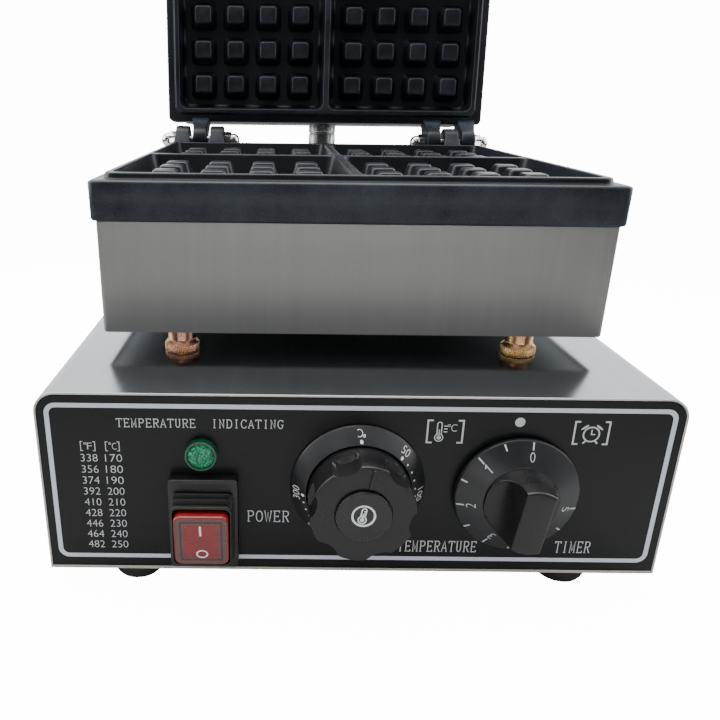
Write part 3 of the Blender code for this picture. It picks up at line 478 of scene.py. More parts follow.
def arc(cx, cy, radius, start, end, steps):
    angles = [radians(start + (end - start) * i / steps) for i in range(steps + 1)]
    return [(cx + radius * cos(a), cy + radius * sin(a)) for a in angles]


def rounded_box(hx, hy, hz, corner, edge, steps=6):
    """A box with round uprights and softened top and bottom edges, centred."""
    bm = bmesh.new()
    rings = [ring(hx - edge + e, hy - edge + e, max(corner - edge + e, 0.0002), -hz + edge - edge * sqrt(
        max(0.0, 1 - (e / edge) ** 2)), steps=steps) for e in (0, edge * 0.5, edge * 0.87, edge)]
    top = [[(x, y, -z) for x, y, z in r] for r in reversed(rings)]
    loft(bm, rings + top)
    return bm


def join(target, others, matrix=None):
    for bm in others:
        mesh = bpy.data.meshes.new("part")
        if matrix is not None:
            bmesh.ops.transform(bm, matrix=matrix, verts=bm.verts)
        bm.to_mesh(mesh)
        bm.free()
        target.from_mesh(mesh)
        bpy.data.meshes.remove(mesh)
    return target


def moved(bm, offset, rotation=None):
    if rotation is not None:
        bmesh.ops.transform(bm, matrix=rotation, verts=bm.verts)
    bmesh.ops.translate(bm, vec=offset, verts=bm.verts)
    return bm


# ---------------------------------------------------------------- print: words, numbers and signs
# thin letters with small serifs, in a cell 0.6 wide and 1 high
BOWL = [[(.12, 0), (.12, 1)], [(.02, 1), (.38, 1), (.5, .92), (.54, .76), (.5, .6), (.38, .51), (.12, .51)]]
HOOK = [(.53, .8), (.47, .93), (.34, 1), (.24, .98), (.12, .84), (.06, .6), (.06, .4), (.12, .16), (.24, .02),
        (.36, 0)]
LETTERS = {
    "T": [[(.3, 0), (.3, 1)], [(.03, .84), (.03, 1), (.57, 1), (.57, .84)], [(.2, 0), (.4, 0)]],
    "E": [[(.12, 0), (.12, 1)], [(.02, 1), (.52, 1), (.52, .84)], [(.12, .5), (.42, .5)],
          [(.42, .41), (.42, .59)], [(.02, 0), (.54, 0), (.54, .17)]],
    "M": [[(.1, 0), (.1, 1), (.3, .18), (.5, 1), (.5, 0)], [(.02, 0), (.18, 0)], [(.42, 0), (.58, 0)],
          [(.02, 1), (.1, 1)], [(.5, 1), (.58, 1)]],
    "P": BOWL + [[(.02, 0), (.24, 0)]],
    "R": BOWL + [[(.02, 0), (.22, 0)], [(.3, .51), (.53, 0), (.6, 0)]],
    "A": [[(.06, 0), (.3, 1), (.54, 0)], [(.15, .34), (.45, .34)], [(0, 0), (.15, 0)], [(.45, 0), (.6, 0)]],
    "U": [[(.12, 1), (.12, .24), (.19, .06), (.3, 0), (.41, .06), (.48, .24), (.48, 1)], [(.03, 1), (.21, 1)],
          [(.39, 1), (.57, 1)]],
    "I": [[(.3, 0), (.3, 1)], [(.19, 0), (.41, 0)], [(.19, 1), (.41, 1)]],
    "N": [[(.12, 0), (.12, 1), (.48, 0), (.48, 1)], [(.03, 0), (.21, 0)], [(.03, 1), (.12, 1)],
          [(.39, 1), (.57, 1)]],
    "D": [[(.12, 0), (.12, 1)],
          [(.02, 1), (.34, 1), (.48, .88), (.55, .65), (.55, .35), (.48, .12), (.34, 0), (.02, 0)]],
    "C": [[(.53, 1), (.53, .76)], HOOK + [(.48, .07), (.55, .22)]],
    "G": [[(.53, 1), (.53, .76)], HOOK + [(.5, .08), (.5, .42)], [(.38, .42), (.6, .42)]],
    "O": [[(.3, 1), (.16, .93), (.07, .72), (.05, .5), (.07, .28), (.16, .07), (.3, 0), (.44, .07),
           (.53, .28), (.55, .5), (.53, .72), (.44, .93), (.3, 1)]],
    "W": [[(.04, 1), (.17, 0), (.3, .88), (.43, 0), (.56, 1)], [(-.02, 1), (.1, 1)], [(.5, 1), (.62, 1)]],
    " ": [],
}


def ribbon(bm, points, width, closed=False):
    """A flat strip of even width along a line in the plane z = 0."""
    points = [Vector((*p, 0)) for p in points]
    count, left, right = len(points), [], []
    for i, p in enumerate(points):
        before = points[i - 1] if i or closed else None
        after = points[(i + 1) % count] if i < count - 1 or closed else None
        a = (p - before).normalized() if before is not None else (after - p).normalized()
        b = (after - p).normalized() if after is not None else a
        way = (a + b).normalized() if (a + b).length > 1e-6 else a
        side = Vector((-way.y, way.x, 0)) * (width / 2 / max(0.5, way.dot(a)))
        left.append(bm.verts.new(p + side))
        right.append(bm.verts.new(p - side))
    for i in range(count if closed else count - 1):
        j = (i + 1) % count
        bm.faces.new((right[i], right[j], left[j], left[i]))


def circle(cx, cy, radius, steps=28, start=0.0, end=360.0):
    return arc(cx, cy, radius, start, end, steps)[:-1 if end - start >= 360 else None]


def disc(bm, cx, cy, radius, steps=24):
    bm.faces.new([bm.verts.new((x, y, 0)) for x, y in circle(cx, cy, radius, steps)])


def words(bm, text, x0, x1, y0, y1, pen):
    """Text in the serif letters above, spaced to fill the box."""
    step = (x1 - x0) / (len(text) - 1 + 0.6 / 0.72)
    wide, high = step / 0.72, y1 - y0
    for i, letter in enumerate(text):
        for line in LETTERS[letter]:
            ribbon(bm, [(x0 + i * step + x * wide, y0 + y * high) for x, y in line], pen)


def typed(text, x0, x1, y0, y1, spacing=1.0):
    """Plain sans text from Blender's own font, as a flat mesh that fills the box."""
    curve = bpy.data.curves.new("type", "FONT")
    curve.body = text
    curve.space_character = spacing
    curve.resolution_u = 4
    curve.offset = -0.014
    holder = placed("type", curve)
    bpy.context.view_layer.update()
    mesh = bpy.data.meshes.new_from_object(holder.evaluated_get(bpy.context.evaluated_depsgraph_get()))
    bm = bmesh.new()
    bm.from_mesh(mesh)
    bpy.data.objects.remove(holder)
    bpy.data.curves.remove(curve)
    bpy.data.meshes.remove(mesh)
    xs, ys = [v.co.x for v in bm.verts], [v.co.y for v in bm.verts]
    for v in bm.verts:
        v.co.x = x0 + (v.co.x - min(xs)) / (max(xs) - min(xs)) * (x1 - x0)
        v.co.y = y0 + (v.co.y - min(ys)) / (max(ys) - min(ys)) * (y1 - y0)
        v.co.z = 0
    return bm


def bent(bm, height, turn, radius, flip=False):
    """Wraps flat print round a dial: x runs clockwise and y outwards, on a face height(r) above the panel."""
    for v in bm.verts:
        u, w = (-v.co.x, -v.co.y) if flip else (v.co.x, v.co.y)
        r = radius + w
        a = turn + u / radius
        v.co = (r * sin(a), r * cos(a), height(r) + 0.00012)
    return bm


def bracket(bm, x0, x1, y0, y1, pen, foot):
    ribbon(bm, [(x0 + foot, y1), (x0, y1), (x0, y0), (x0 + foot, y0)], pen)
    ribbon(bm, [(x1 - foot, y1), (x1, y1), (x1, y0), (x1 - foot, y0)], pen)


def thermometer(bm, x, y, high, pen, bulb, beside):
    """A thermometer with a filled bulb and three ticks, inside or beside it. Its foot is at (x, y)."""
    stem = bulb * 0.55
    tip = arc(x, y + high - stem, stem, 180, 0, 8)
    ribbon(bm, [(x - stem, y + 2 * bulb)] + tip + [(x + stem, y + 2 * bulb)], pen)
    ribbon(bm, circle(x, y + bulb, bulb, 24), pen, True)
    disc(bm, x, y + bulb, bulb * 0.55)
    ribbon(bm, [(x, y + bulb), (x, y + high * 0.62)], pen)
    start, end = (stem * 2.0, stem * 3.6) if beside else (0.0, stem)
    for i in range(3):
        level = y + high * (0.5 + 0.15 * i)
        ribbon(bm, [(x + start, level), (x + end, level)], pen)


def print_words(bm):
    words(bm, "TEMPERATURE  INDICATING", -0.1198, -0.0378, 0.083, 0.0874, 0.00042)
    words(bm, "POWER", -0.0558, -0.0341, 0.0297, 0.036, 0.0005)
    words(bm, "TEMPERATURE", 0.023, 0.0644, 0.0125, 0.0188, 0.0005)
    words(bm, "TIMER", 0.1054, 0.124, 0.0127, 0.0193, 0.0005)


def print_table(bm):
    """Fahrenheit beside Celsius, from 170 to 250 C."""
    for x0, x1, unit in ((-0.1383, -0.1312, "F"), (-0.1259, -0.1191, "C")):
        bracket(bm, x0, x1, 0.0697, 0.0747, 0.0004, 0.0011)
        ribbon(bm, circle(x0 + 0.0022, 0.0737, 0.0005, 12), 0.00028, True)
        join(bm, [typed(unit, x0 + 0.0032, x1 - 0.0014, 0.0704, 0.0741)])
    for row in range(9):
        high = 0.0657 - row * 0.00634
        celsius = 170 + 10 * row
        for degrees, x0, x1 in ((celsius * 9 // 5 + 32, -0.1388, -0.1303), (celsius, -0.1266, -0.1181)):
            join(bm, [typed(str(degrees), x0, x1, high - 0.0021, high + 0.0021)])


def print_signs(bm):
    """A thermometer and a clock in brackets, and the timer's dot."""
    bracket(bm, 0.033, 0.0504, 0.0763, 0.0883, 0.0009, 0.0026)
    thermometer(bm, 0.0388, 0.077, 0.0104, 0.00052, 0.002, True)
    ribbon(bm, circle(0.0434, 0.0856, 0.0006, 14), 0.0003, True)
    join(bm, [typed("C", 0.0445, 0.0474, 0.0824, 0.0863)])
    bracket(bm, 0.1052, 0.1221, 0.0763, 0.0884, 0.0009, 0.0024)
    cx, cy = 0.1137, 0.0816
    ribbon(bm, circle(cx, cy, 0.0039, 32), 0.00075, True)
    ribbon(bm, [(cx, cy + 0.0026), (cx, cy), (cx + 0.0019, cy)], 0.0006)
    for way in (-1, 1):
        bell = [(cx + way * (0.0036 + x * 0.0017 - y * 0.0005), cy + 0.0038 + y * 0.001 - x * 0.001)
                for x, y in circle(0, 0, 1, 20)]
        bm.faces.new([bm.verts.new((x, y, 0)) for x, y in bell])
        ribbon(bm, [(cx + way * 0.0024, cy - 0.0036), (cx + way * 0.0036, cy - 0.005)], 0.0009)
    disc(bm, 0.0779, 0.0878, 0.0025, 32)


def make_print():
    bm = bmesh.new()
    for add in (print_words, print_table, print_signs):
        add(bm)
    piece("panel_print", bm, "ink", "base", matrix=facing(0, 0, 0.00008))

    bm = bmesh.new()
    half, low, high, line = 0.1548, 0.0068, 0.0955, 0.0024
    cy, hy = (low + high) / 2, (high - low) / 2
    outer = ring(half, hy, 0.0056, 0, 0, cy, 10)
    inner = ring(half - line, hy - line, 0.0034, 0, 0, cy, 10)
    loft(bm, [outer, inner], False, False)
    piece("panel_border", bm, "border", "base", matrix=facing(0, 0, 0.00006))


# ---------------------------------------------------------------- castings
def stud(bm, x, y):
    """One tapered block on a mould's floor, with a fillet round its foot."""
    floor, top = MOULD_FLOOR, BLOCK_TOP
    levels = [(0.0117, 0.0045, floor - 0.0004), (0.011, 0.004, floor + 0.0002),
              (0.0101, 0.0034, floor + 0.0013), (0.0072, 0.0026, top - 0.0016),
              (0.0069, 0.0025, top - 0.0008), (0.0064, 0.0023, top - 0.0003), (0.0056, 0.0019, top)]
    squares(bm, levels, False, True, x, y, 4)


def lug():
    """A hinge lug: a round eye on the hinge line with a web back to the flange."""
    root = -BEHIND - 0.004
    outline = [(root, UNDERSIDE + 0.004)] + arc(0, 0, KNUCKLE, -100, 152, 30) + [(root, FLANGE_TOP)]
    bm = prism(outline, LUG_WIDTH, 0.0014)
    for v in bm.verts:  # the web flares into the flange
        near = max(0.0, (-v.co.x - 0.012) / (BEHIND - 0.012))
        v.co.z *= 1 + 0.3 * min(1.0, near) ** 2
    return moved(bm, (0, 0, 0), ACROSS)


def make_casting(name, matrix, body, node, heels):
    """A plate with four moulds. The upper one's lugs also carry the heels that stop it when it is open."""
    bm = bmesh.new()
    h, lip, draft = PLATE_HALF, LIP_HALF, 0.0002
    levels = [(h - draft - 0.0016, 0.0028, UNDERSIDE), (h - draft - 0.0005, 0.0035, UNDERSIDE + 0.0004),
              (h - draft, 0.004, UNDERSIDE + 0.0014), (h, 0.0042, FLANGE_TOP - 0.0014),
              (h - 0.0004, 0.004, FLANGE_TOP - 0.0005), (h - 0.0014, 0.0034, FLANGE_TOP),
              (lip + 0.0012, 0.0066, FLANGE_TOP), (lip + 0.0004, 0.0062, FLANGE_TOP + 0.0004),
              (lip, 0.006, FLANGE_TOP + 0.0012), (lip - 0.0002, 0.006, LIP_TOP - 0.001),
              (lip - 0.0005, 0.0058, LIP_TOP - 0.0003), (lip - 0.0011, 0.0054, LIP_TOP)]
    outer = squares(bm, levels, True, False, 0, MIDDLE)[-1]
    rims = [outer]
    for sx in (-1, 1):
        for sy in (-1, 1):
            cx, cy = sx * MOULD_CENTRE, MIDDLE + sy * MOULD_CENTRE
            m = MOULD_HALF
            wall = [(m + 0.0009, 0.0068, LIP_TOP), (m + 0.0003, 0.0063, LIP_TOP - 0.0003),
                    (m, 0.006, LIP_TOP - 0.001), (m - 0.0024, 0.0052, MOULD_FLOOR + 0.0026),
                    (m - 0.0032, 0.005, MOULD_FLOOR + 0.0008), (m - 0.0052, 0.004, MOULD_FLOOR)]
            rims.append(squares(bm, wall, False, True, cx, cy)[0])
            for i in range(4):
                for j in range(4):
                    stud(bm, cx + (i - 1.5) * PITCH, cy + (j - 1.5) * PITCH)
    edges = [bm.edges.get((v, loop[(i + 1) % len(loop)])) for loop in rims for i, v in enumerate(loop)]
    bmesh.ops.triangle_fill(bm, use_beauty=True, use_dissolve=False, edges=edges, normal=(0, 0, 1))
    spots = [HINGE_X, -HINGE_X - LUG_SPREAD / 2, -HINGE_X + LUG_SPREAD / 2]
    join(bm, [moved(lug(), (x, 0, 0)) for x in spots])
    if heels:
        reach = BEHIND - GAP
        for x in spots:
            block = rounded_box(LUG_WIDTH / 2 - 0.0002, (reach - 0.0056) / 2, 0.0031, 0.001, 0.0008)
            block = moved(block, (0, -(reach + 0.005) / 2, -0.0088))
            turn = Matrix.Rotation(pi, 4, "Y") @ Matrix.Translation((-x, 0, 0))
            join(bm, [block], turn @ Matrix.Rotation(OPEN, 4, "X"))
    return piece(name, bm, "cast", body, [node], matrix, 50)


def make_castings():
    make_casting("lower_casting", STAND, "base", "lower_plate", False)
    make_casting("upper_casting", UPPER, "upper_half", "upper_plate", True)


# ---------------------------------------------------------------- sheet metal
def make_skirt():
    """The lower skirt, folded in at its lower edge and open above."""
    bm = bmesh.new()
    h, top = SKIRT_HALF, UNDERSIDE - GAP
    levels = [(h - 0.001, 0.0016, top), (h, 0.0025, top), (h, 0.0025, SKIRT_END + 0.0009),
              (h - 0.0003, 0.0023, SKIRT_END + 0.0002), (h - 0.001, 0.0018, SKIRT_END),
              (h - 0.001, 0.0018, SKIRT_END + 0.001), (h - 0.001, 0.0016, top)]
    squares(bm, levels, False, False, 0, MIDDLE, 6)
    piece("lower_skirt_sheet", bm, "skirt", "base", ["lower_skirt"], STAND, 50)


def make_upper_cover():
    """The upper half's deep-drawn cover, open below."""
    bm = bmesh.new()
    h, foot, top, upright, edge, sheet = SKIRT_HALF, -UNDERSIDE + GAP, -SKIRT_END, 0.0075, 0.006, 0.001
    def shell(inset):
        levels = [(h - inset, upright - inset, foot)]
        for i in range(7):
            a = radians(90 * i / 6)
            drop, inward = (edge - inset) * (1 - sin(a)), (edge - inset) * (1 - cos(a))
            levels.append((h - inset - inward, max(upright - inset - inward, 0.0006), top - inset - drop))
        return [ring(s, s, r, z, 0, MIDDLE, 8) for s, r, z in levels]
    outside, inside = shell(0.0), shell(sheet)
    loft(bm, outside, False, True)
    loft(bm, inside, False, True)
    loft(bm, [outside[0], inside[0]], False, False)
    piece("upper_cover_sheet", bm, "cover", "upper_half", ["upper_cover"], LID, 50)


def make_casing():
    """The base's folded cover: one sheet over the top and down both sides, with a rounded front edge."""
    low, high, half = CASE_LOW.z, CASE_HIGH.z, CASE_HIGH.x
    corner, soft = 0.011, 0.00045
    def path(inset):
        r = corner - inset
        side = [(half - inset, low)] + arc(half - corner, high - corner, r, 0, 90, 16)
        return side + [(-x, z) for x, z in reversed(side)]
    def section(y, inset):
        outer, inner = path(inset), path(SHEET - inset)
        return [(x, y, z) for x, z in outer] + [(x, y, z) for x, z in reversed(inner)]
    y0, y1 = CASE_LOW.y, CASE_HIGH.y
    bm = bmesh.new()
    loft(bm, [section(y0, soft), section(y0 + 0.00013, 0.00013), section(y0 + soft, 0), section(y1 - soft, 0),
              section(y1 - 0.00013, 0.00013), section(y1, soft)])
    casing = piece("casing_sheet", bm, "top", "base", ["casing_cover"], degrees=50)
    # the front edge faces take the lighter matt finish: a painted highlight along the casing's front rim
    casing.data.materials.append(M["painted_edge_highlight"])
    for face in casing.data.polygons:
        if face.center.y < y0 + soft:
            face.material_index = 1
    deep, tall = 0.00018, 0.0009
    lip = rounded_box(half - SHEET - GAP, deep, tall, 0.0001, 0.0001, 3)
    piece("tray_lip", moved(lip, (0, PANEL_FACE - deep, low + tall)), "lip", "base")


# ---------------------------------------------------------------- posts, feet, hinge nuts, glands
def make_posts():
    for name in ("post_front_left", "post_front_right", "post_rear_left", "post_rear_right"):
        spot, tall = standing(name)
        profile = [(0.0045, tall), (0.0077, tall), (0.0077, 0.0074), (0.0084, 0.0062), (0.0097, 0.0046),
                   (0.0097, 0.0008), (0.0092, 0.0), (0.0045, 0.0), (0.0045, tall)]
        bm = lathe(profile, 64, 0.0004, (60, 0.0004, 0.0092, 0.0002, 0.005))
        piece(name + "_knurled", bm, "plated", "base", [name], spot, 60)


def make_feet():
    for end in ("front", "rear"):
        for side in ("left", "right"):
            node = "foot_%s_%s" % (end, side)
            spot, t = standing(node)
            profile = [(0, 0.0016), (0.0036, 0.0016), (0.0042, 0.0), (0.0092, 0), (0.0118, 0.0012),
                       (0.0134, 0.0035), (0.014, 0.0065), (0.014, t - 0.0022), (0.0137, t - 0.0016),
                       (0.014, t - 0.001), (0.014, t), (0, t)]
            piece(node + "_rubber", lathe(profile, 48, 0.0005), "foot", "base", [node], spot)


def acorn():
    """A domed hexagon nut, its flat face at z = 0."""
    bm = bmesh.new()
    across, high = 0.0074, 0.0062
    levels = [(0.86, 0.0), (0.95, 0.0), (1.0, 0.0007), (1.0, high - 0.0009), (0.93, high - 0.0003),
              (0.86, high)]
    rings = []
    for scale, z in levels:
        loop = []
        for i in range(36):
            a = radians(10 * i)
            flat = cos(radians(30)) / cos(radians((10 * i) % 60 - 30))
            r = across * min(flat, scale)
            loop.append((r * cos(a), r * sin(a), z))
        rings.append(loop)
    loft(bm, rings)
    cap, spring, rise = 0.006, 0.0074, 0.0059
    turns = [radians(degrees) for degrees in range(0, 90, 9)]
    dome = [(0.0058, high - 0.0004), (cap, high + 0.001)]
    dome += [(cap * cos(t), spring + rise * sin(t)) for t in turns] + [(0, spring + rise)]
    return join(bm, [lathe(dome, 36, 0)])


def make_nuts():
    reach = LUG_SPREAD / 2 + LUG_WIDTH / 2 + GAP
    for side, x in (("left", -1), ("right", 1)):
        for end, way in (("left", -1), ("right", 1)):
            spot = HINGE + Vector((x * HINGE_X + way * reach, 0, 0))
            turn = Matrix.Translation(spot) @ Matrix.Rotation(radians(90 * way), 4, "Y")
            node = "nut_%s_%s" % (side, end)
            piece(node + "_acorn", acorn(), "chrome", "base", [node], turn, 32)


def gland(length):
    """A conduit gland with a groove between its body and its nut, and a shank behind the sheet."""
    profile = [(0.006, length), (0.0108, length), (0.0125, length - 0.0012), (0.0125, 0.01),
               (0.0119, 0.0093), (0.0119, 0.0082), (0.0125, 0.0075), (0.0125, 0.0), (0.0085, 0.0),
               (0.0085, -0.008), (0.006, -0.008), (0.006, length)]
    return lathe(profile, 72, 0.0005)


def make_glands():
    for name, x, z, matrix, body in (("conduit_gland_lower", CONDUIT_X, -CONDUIT_Z, STAND, "base"),
                                     ("conduit_gland_upper", 0.0, CONDUIT_Z, LID, "upper_half")):
        spot = matrix @ Matrix.Translation((x, -BEHIND - SKIRT_INSET + GAP, z)) @ TO_BACK
        piece(name + "_turned", gland(GLAND_LENGTH), "bright", body, [name], spot)
    profile = [(0.0045, 0.022), (0.0088, 0.0218), (0.0103, 0.0192), (0.0105, 0.0075), (0.0105, 0.0062),
               (0.0125, 0.006), (0.0125, GAP), (0.0085, GAP), (0.0085, -0.012), (0.0045, -0.012),
               (0.0045, 0.022)]
    bm = lathe(profile, 48, 0.0005, (24, 0.0005, 0.01, 0.0064, 0.0195))
    spot = behind("mains_gland")
    piece("mains_gland_ribbed", bm, "plastic", "base", ["mains_gland"], spot)


def conduit_route():
    """The conduit's middle line: straight out of each gland, then one curve between them."""
    reach = -BEHIND - SKIRT_INSET + GAP + GLAND_LENGTH + GAP
    start = HINGE + Vector((CONDUIT_X, reach, -CONDUIT_Z))
    end = LID @ Vector((0, reach, CONDUIT_Z))
    back = Vector((0, 1, 0))
    down = LID.to_3x3() @ back
    straight, swing = 0.004, 0.062
    a, d = start + straight * back, end + straight * down
    b, c = a + swing * back, d + swing * down
    line = [start]
    for i in range(33):
        t = i / 32
        s = 1 - t
        line.append(a * s ** 3 + b * (3 * s * s * t) + c * (3 * s * t * t) + d * t ** 3)
    return line + [end]


def make_conduit():
    """Corrugated flexible steel conduit between the two halves."""
    line = conduit_route()
    steps = [0.0]
    for p, q in zip(line, line[1:]):
        steps.append(steps[-1] + (q - p).length)
    total = steps[-1]
    around = 24
    samples = int(total / CONDUIT_PITCH) * 8
    side = (line[1] - line[0]).normalized().orthogonal().normalized()
    rings, k = [], 0
    for i in range(samples + 1):
        at = total * i / samples
        while k < len(line) - 2 and steps[k + 1] < at:
            k += 1
        f = (at - steps[k]) / (steps[k + 1] - steps[k])
        spot = line[k].lerp(line[k + 1], f)
        last, nxt = line[max(k - 1, 0)], line[min(k + 2, len(line) - 1)]
        ahead = ((line[k + 1] - last).normalized() * (1 - f) + (nxt - line[k]).normalized() * f).normalized()
        side = (side - ahead * side.dot(ahead)).normalized()
        other = ahead.cross(side)
        wave = 0.5 + 0.5 * cos(2 * pi * i / 8)
        radius = CONDUIT_RADIUS - 0.0008 * (1 - wave) ** 1.5
        turns = [2 * pi * j / around for j in range(around)]
        rings.append([spot + (side * cos(t) + other * sin(t)) * radius for t in turns])
    bm = bmesh.new()
    loft(bm, rings)
    mesh = piece("conduit_flexible", bm, "conduit", "base", ["conduit"], None, 70)
    world = mesh.matrix_world.copy()
    mesh.parent = None
    mesh.matrix_world = world
    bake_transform(mesh)


# ---------------------------------------------------------------- controls
def make_lamp():
    spot = facing(LAMP_X, LAMP_Z, GAP)
    bezel = [(0.0069, 0.0), (0.0081, 0.0), (0.0081, 0.0036), (0.0078, 0.0044)]
    piece("lamp_bezel", lathe(bezel, 64, 0.0004), "bezel", "base", ["lamp_lens"], spot)
    rim = [(0.0079, 0.0043), (0.0077, 0.0048), (0.007, 0.0048), (0.0067, 0.0038)]
    piece("lamp_rim", lathe(rim, 64, 0.0002), "rim", "base", (), spot)
    dome = [(0.0069, 0.0034), (0.006, 0.0044), (0.004, 0.005), (0.002, 0.0053), (0, 0.0054)]
    piece("lamp_disc", lathe(dome, 64, 0.001), "green", "base", (), spot)


def make_switch():
    """A sealed rocker switch: a thick bezel, a folded rubber boot narrowing to the front, and a red cap."""
    spot = facing(SWITCH_X, SWITCH_Z, GAP)
    levels = [(0.0174, 0.0254, 0.0018, 0.0), (0.0175, 0.0255, 0.002, 0.0012),  # the bezel
              (0.0175, 0.0255, 0.002, 0.0062), (0.0173, 0.0253, 0.0019, 0.0068),
              (0.0169, 0.0249, 0.0018, 0.007), (0.016, 0.0232, 0.0024, 0.007), (0.0152, 0.02, 0.003, 0.0073)]
    for out, wide, tall in ((0.0095, 0.0159, 0.0198), (0.013, 0.0156, 0.0187)):  # two folds
        levels += [(wide - 0.0022, tall - 0.003, 0.0026, out - 0.0015),
                   (wide - 0.0003, tall - 0.0006, 0.0036, out - 0.0005), (wide, tall, 0.0038, out + 0.0001),
                   (wide - 0.0003, tall - 0.0005, 0.0036, out + 0.0006)]
    levels += [(0.0141, 0.0158, 0.003, 0.0147), (0.015, 0.017, 0.0036, 0.0157),  # the lip round the cap
               (0.0151, 0.0172, 0.0036, 0.0168), (0.0148, 0.0169, 0.0034, 0.0177),
               (0.0142, 0.0159, 0.0032, 0.0179), (0.0139, 0.0155, 0.003, 0.0173),
               (0.0139, 0.0155, 0.003, 0.003)]
    bm = bmesh.new()
    stack(bm, levels, False, steps=6)
    piece("switch_boot", bm, "rubber", "base", ["switch_frame"], spot, 60)

    pivot = facing(SWITCH_X, SWITCH_Z, GAP + 0.01) @ Matrix.Rotation(ROCKER_REST, 4, "X")
    bm = bmesh.new()
    levels = [(0.0132, 0.0142, 0.003, 0.001), (0.0135, 0.0145, 0.0034, 0.0016),
              (0.0135, 0.0145, 0.0036, 0.009), (0.0134, 0.0144, 0.0036, 0.0096),
              (0.0131, 0.0141, 0.0035, 0.01)]
    stack(bm, levels)
    piece("rocker_shell", bm, "red", "power_rocker", ["switch_rocker"], pivot)
    for name, finish, outer, inner, corner, out in (("border", "red_rim", 0.0128, 0.0098, 0.0034, 0.01006),
                                                    ("line", "red_line", 0.0105, 0.0095, 0.0006, 0.0101),
                                                    ("margin", "red_rim", 0.0096, 0.0084, 0.0006, 0.01006)):
        bm = bmesh.new()
        tall = 0.001 if name == "border" else 0.0013
        loops = [ring(outer, outer + tall, corner, out), ring(inner, inner + 0.0013, 0.0006, out)]
        loft(bm, loops, False, False)
        piece("rocker_" + name, bm, finish, "power_rocker", (), pivot)
    bm = bmesh.new()
    ribbon(bm, [(-0.0003, 0.0034), (-0.0003, 0.0092)], 0.001)
    ribbon(bm, [(0.0003 + x * 0.0026, y * 0.0021 - 0.0077) for x, y in circle(0, 0, 1, 32)], 0.0007, True)
    piece("rocker_signs", bm, "white", "power_rocker", (),
          pivot @ Matrix.Translation((0, 0, 0.01016)))


def ring_height(r):
    """Height of the dial ring's conical face above the panel."""
    return 0.0085 - 0.0069 * (r - 0.0266) / 0.0068


def mark_angle(i):
    """Where the ring's mark for 50 times i + 1 degrees stands, clockwise of the off mark."""
    return radians(46.3 if i == 0 else 94.6 + 42.9 * (i - 1))


def make_dial_ring():
    spot = Matrix.Translation(DIAL) @ TO_FRONT
    profile = [(0.019, 0.002), (0.026, 0.002), (0.026, 0.0081), (0.0266, 0.0085), (0.0334, 0.0016),
               (0.034, 0.0008), (0.0338, 0.0), (0.019, 0.0), (0.019, 0.002)]
    dial = lathe(profile, 120, 0.0005)
    piece("dial_ring", dial, "ring", "base", ["temperature_dial"], spot)
    bm = bmesh.new()
    for i in range(6):
        angle, span = mark_angle(i), mark_angle(i + 1) - mark_angle(i)
        for step in range(5 if i < 5 else 1):
            dot = bmesh.new()
            disc(dot, 0, 0, 0.00045 if step else 0.00078, 14)
            join(bm, [bent(dot, ring_height, angle + span * step / 5, 0.0279)])
        label = str(50 * (i + 1))
        half = 0.0012 * len(label)
        join(bm, [bent(typed(label, -half, half, -0.0016, 0.0016), ring_height, angle, 0.0311)])
    off = bmesh.new()
    disc(off, 0, 0, 0.00078, 14)
    join(bm, [bent(off, ring_height, 0.0, 0.0279)])
    unit = bmesh.new()
    ribbon(unit, circle(-0.0015, 0.001, 0.0005, 12), 0.0003, True)
    join(unit, [typed("C", -0.0008, 0.0018, -0.0015, 0.0015)])
    join(bm, [bent(unit, ring_height, 0.0, 0.0311, True)])
    piece("dial_marks", bm, "white", "base", (), spot)


def scoop_radius(angle, full):
    """Radius of the knob at an angle from its pointer; six scoops stand between the lobes."""
    apart, hollow = 0.0333, 0.0109
    best = full
    for i in range(6):
        d = (angle - radians(30 + 60 * i) + pi) % (2 * pi) - pi
        if abs(apart * sin(d)) < hollow and abs(d) < 0.6:
            edge = apart * cos(d) - sqrt(hollow ** 2 - (apart * sin(d)) ** 2)
            k = 0.0006
            blend = max(0.0, k - abs(full - edge)) / k
            best = min(best, min(full, edge) - blend * blend * k * 0.25)
    return best


